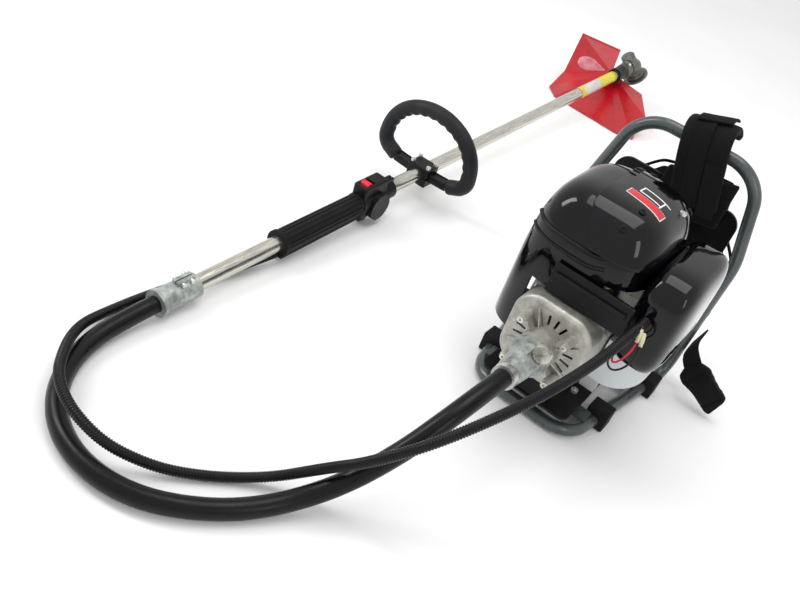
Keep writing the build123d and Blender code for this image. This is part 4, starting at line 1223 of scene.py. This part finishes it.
def makeCushion():
    centre = Vector((0, 190))
    outline = [tuple(centre + (Vector(p) - centre) * cushion["inset"]) for p in cushion["outline"]]
    mesh = settled(prism(outline, *cushion["y"], "cushion"), "backCushion", cushion["voxel"],
                   cushion["pressure"], cushion["cap"])
    mesh = channelled(mesh, cushion["channels"], cushion["depth"], cushion["width"])
    piece = newPiece("backCushion", outwards(mesh, 1e-6), "padCloth",
                     replaced=["back_cushion"])
    edge = [centre + (Vector(p) - centre) * 0.99 for p in cushion["outline"]]
    ring = []
    for a, b in zip(edge, edge[1:] + edge[:1]):
        ring += [a.lerp(b, 0.08), a.lerp(b, 0.5), a.lerp(b, 0.92)]
    ring.append(ring[0])
    mid = sum(cushion["y"]) / 2
    path = [packPoint(p.x, mid, p.y) for p in ring]
    newPiece("cushionPiping", plainMesh(carrierFor(splineCurve("cushionPiping", path, 0.0024, 3)),
                                        "cushionPiping"),
             "webbing")


waist = {"outline": [(151, 40), (160, 31), (181, 24), (215, 8), (222, 10), (230, 44), (228, 50), (183, 80),
                     (168, 80), (151, 57)],
         "y": (289, 303), "cap": 0.005}


def makeWaistPad():
    mesh = settled(prism(waist["outline"], *waist["y"], "waist"), "waistPad", 0.0035, 5, waist["cap"])
    mesh = channelled(mesh, [((166, 42), (178, 70)), ((208, 22), (220, 46))], 0.002, 3.0)
    piece = newPiece("waistPad", outwards(mesh, 1e-6), "padCloth", replaced=["waist_pad"])


def ribbon(path, across, width, thickness, name, finish="webbing", crown=0.0, columns=10):
    # a strap along a path: across(share) gives the width direction
    verts, faces, uvs = [], [], []
    walked = 0.0
    for i, place in enumerate(path):
        if i:
            walked += (place - path[i - 1]).length
        way = (path[min(i + 1, len(path) - 1)] - path[max(i - 1, 0)]).normalized()
        side = across.normalized()
        normal = side.cross(way).normalized()
        for k in range(columns + 1):
            share = k / columns - 0.5
            lift = crown * (1 - (2 * share) ** 4)
            verts.append(place + side * width * share + normal * lift)
            uvs.append((share * width * 10, walked * 10))
    row = columns + 1
    for i in range(len(path) - 1):
        for k in range(columns):
            a = i * row + k
            faces.append((a, a + row, a + row + 1, a + 1))
    mesh = meshFrom(name, verts, faces, uvs)
    carrier = carrierFor(mesh)
    wall = carrier.modifiers.new("wall", "SOLIDIFY")
    wall.thickness = thickness
    wall.offset = 0
    edge = carrier.modifiers.new("edge", "BEVEL")
    edge.width = min(thickness * 0.42, 0.005)
    edge.segments = 3
    edge.limit_method = "ANGLE"
    edge.angle_limit = math.radians(60)
    mesh = plainMesh(carrier, name)
    for vertex in mesh.vertices:
        vertex.co += Vector((0, 1, 1)) * 0.0009 * noise.noise(vertex.co * 28)
    return newPiece(name, mesh, finish)


straps = {
    "padPath": [(303, 292), (302, 330), (301, 366), (303, 388), (314, 401), (332, 404), (348, 399),
                (354, 387)],
    "padWidth": 0.072, "padThick": 0.012, "webWidth": 0.026, "webThick": 0.0022, "at": (21,
                                                                                        338), "lean": -0.29,
    "lowPath": [(313, 264), (312, 300), (312, 338)], "lowWidth": 0.106, "lowAt": 27,
    "web": [(295.6, 300), (294.6, 336), (293.8, 370), (295, 392), (308, 408.5), (332, 412), (352, 405),
            (361, 390)],
    "tail": [(295.6, 286), (294.6, 310), (293.6, 340), (293.2, 364)],
    "fold": [(312, 413), (326, 416.5), (341, 415), (351, 409)],
    "waist": [(143, 352, 88), (143, 330, 87), (143, 312, 85), (147, 300, 81), (156, 296, 72), (166, 295, 62)],
}


def strapCentre(z):
    x, level = straps["at"]
    return x + straps["lean"] * (z - level)


def strapPath(spots, off=0.0):
    points = [packPoint(strapCentre(z) + off, y, z) for y, z in spots]
    return along(splineLine(points), 0.004)


def makeStraps():
    across = Vector((1, 0.0, 0.2))
    pad = ribbon(strapPath(straps["padPath"]), across, straps["padWidth"], straps["padThick"], "strapPad",
                 "padCloth", 0.0015)
    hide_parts("strap_bundle")
    lowLine = along(splineLine([packPoint(straps["lowAt"], y, z) for y, z in straps["lowPath"]]), 0.004)
    low = ribbon(lowLine, across, straps["lowWidth"], 0.011, "strapBlock", "padCloth", 0.0015, 16)
    width, thick = straps["webWidth"], straps["webThick"]
    ribbon(strapPath(straps["web"], -6), across, width, thick, "strapWebA")
    ribbon(strapPath(straps["tail"], 22), across, width, thick, "strapWebB")
    ribbon(strapPath(straps["fold"], 4), Vector((1, 0.25, 0.25)), 0.05, 0.003, "strapFold")
    ribbon(along(splineLine([packPoint(*p) for p in straps["waist"]]), 0.004), Vector((0.25, 0, 1)), 0.036,
           0.003, "waistStrap")
    for k, off in enumerate((-31, 31)):
        points = [packPoint(strapCentre(z) + off, y - 6.6, z + off * 0.2) for y, z in straps["padPath"][:3]]
        stitched(points, f"strapStitch{k}")


print("soft goods")
makeCushion()
makeWaistPad()
makeStraps()
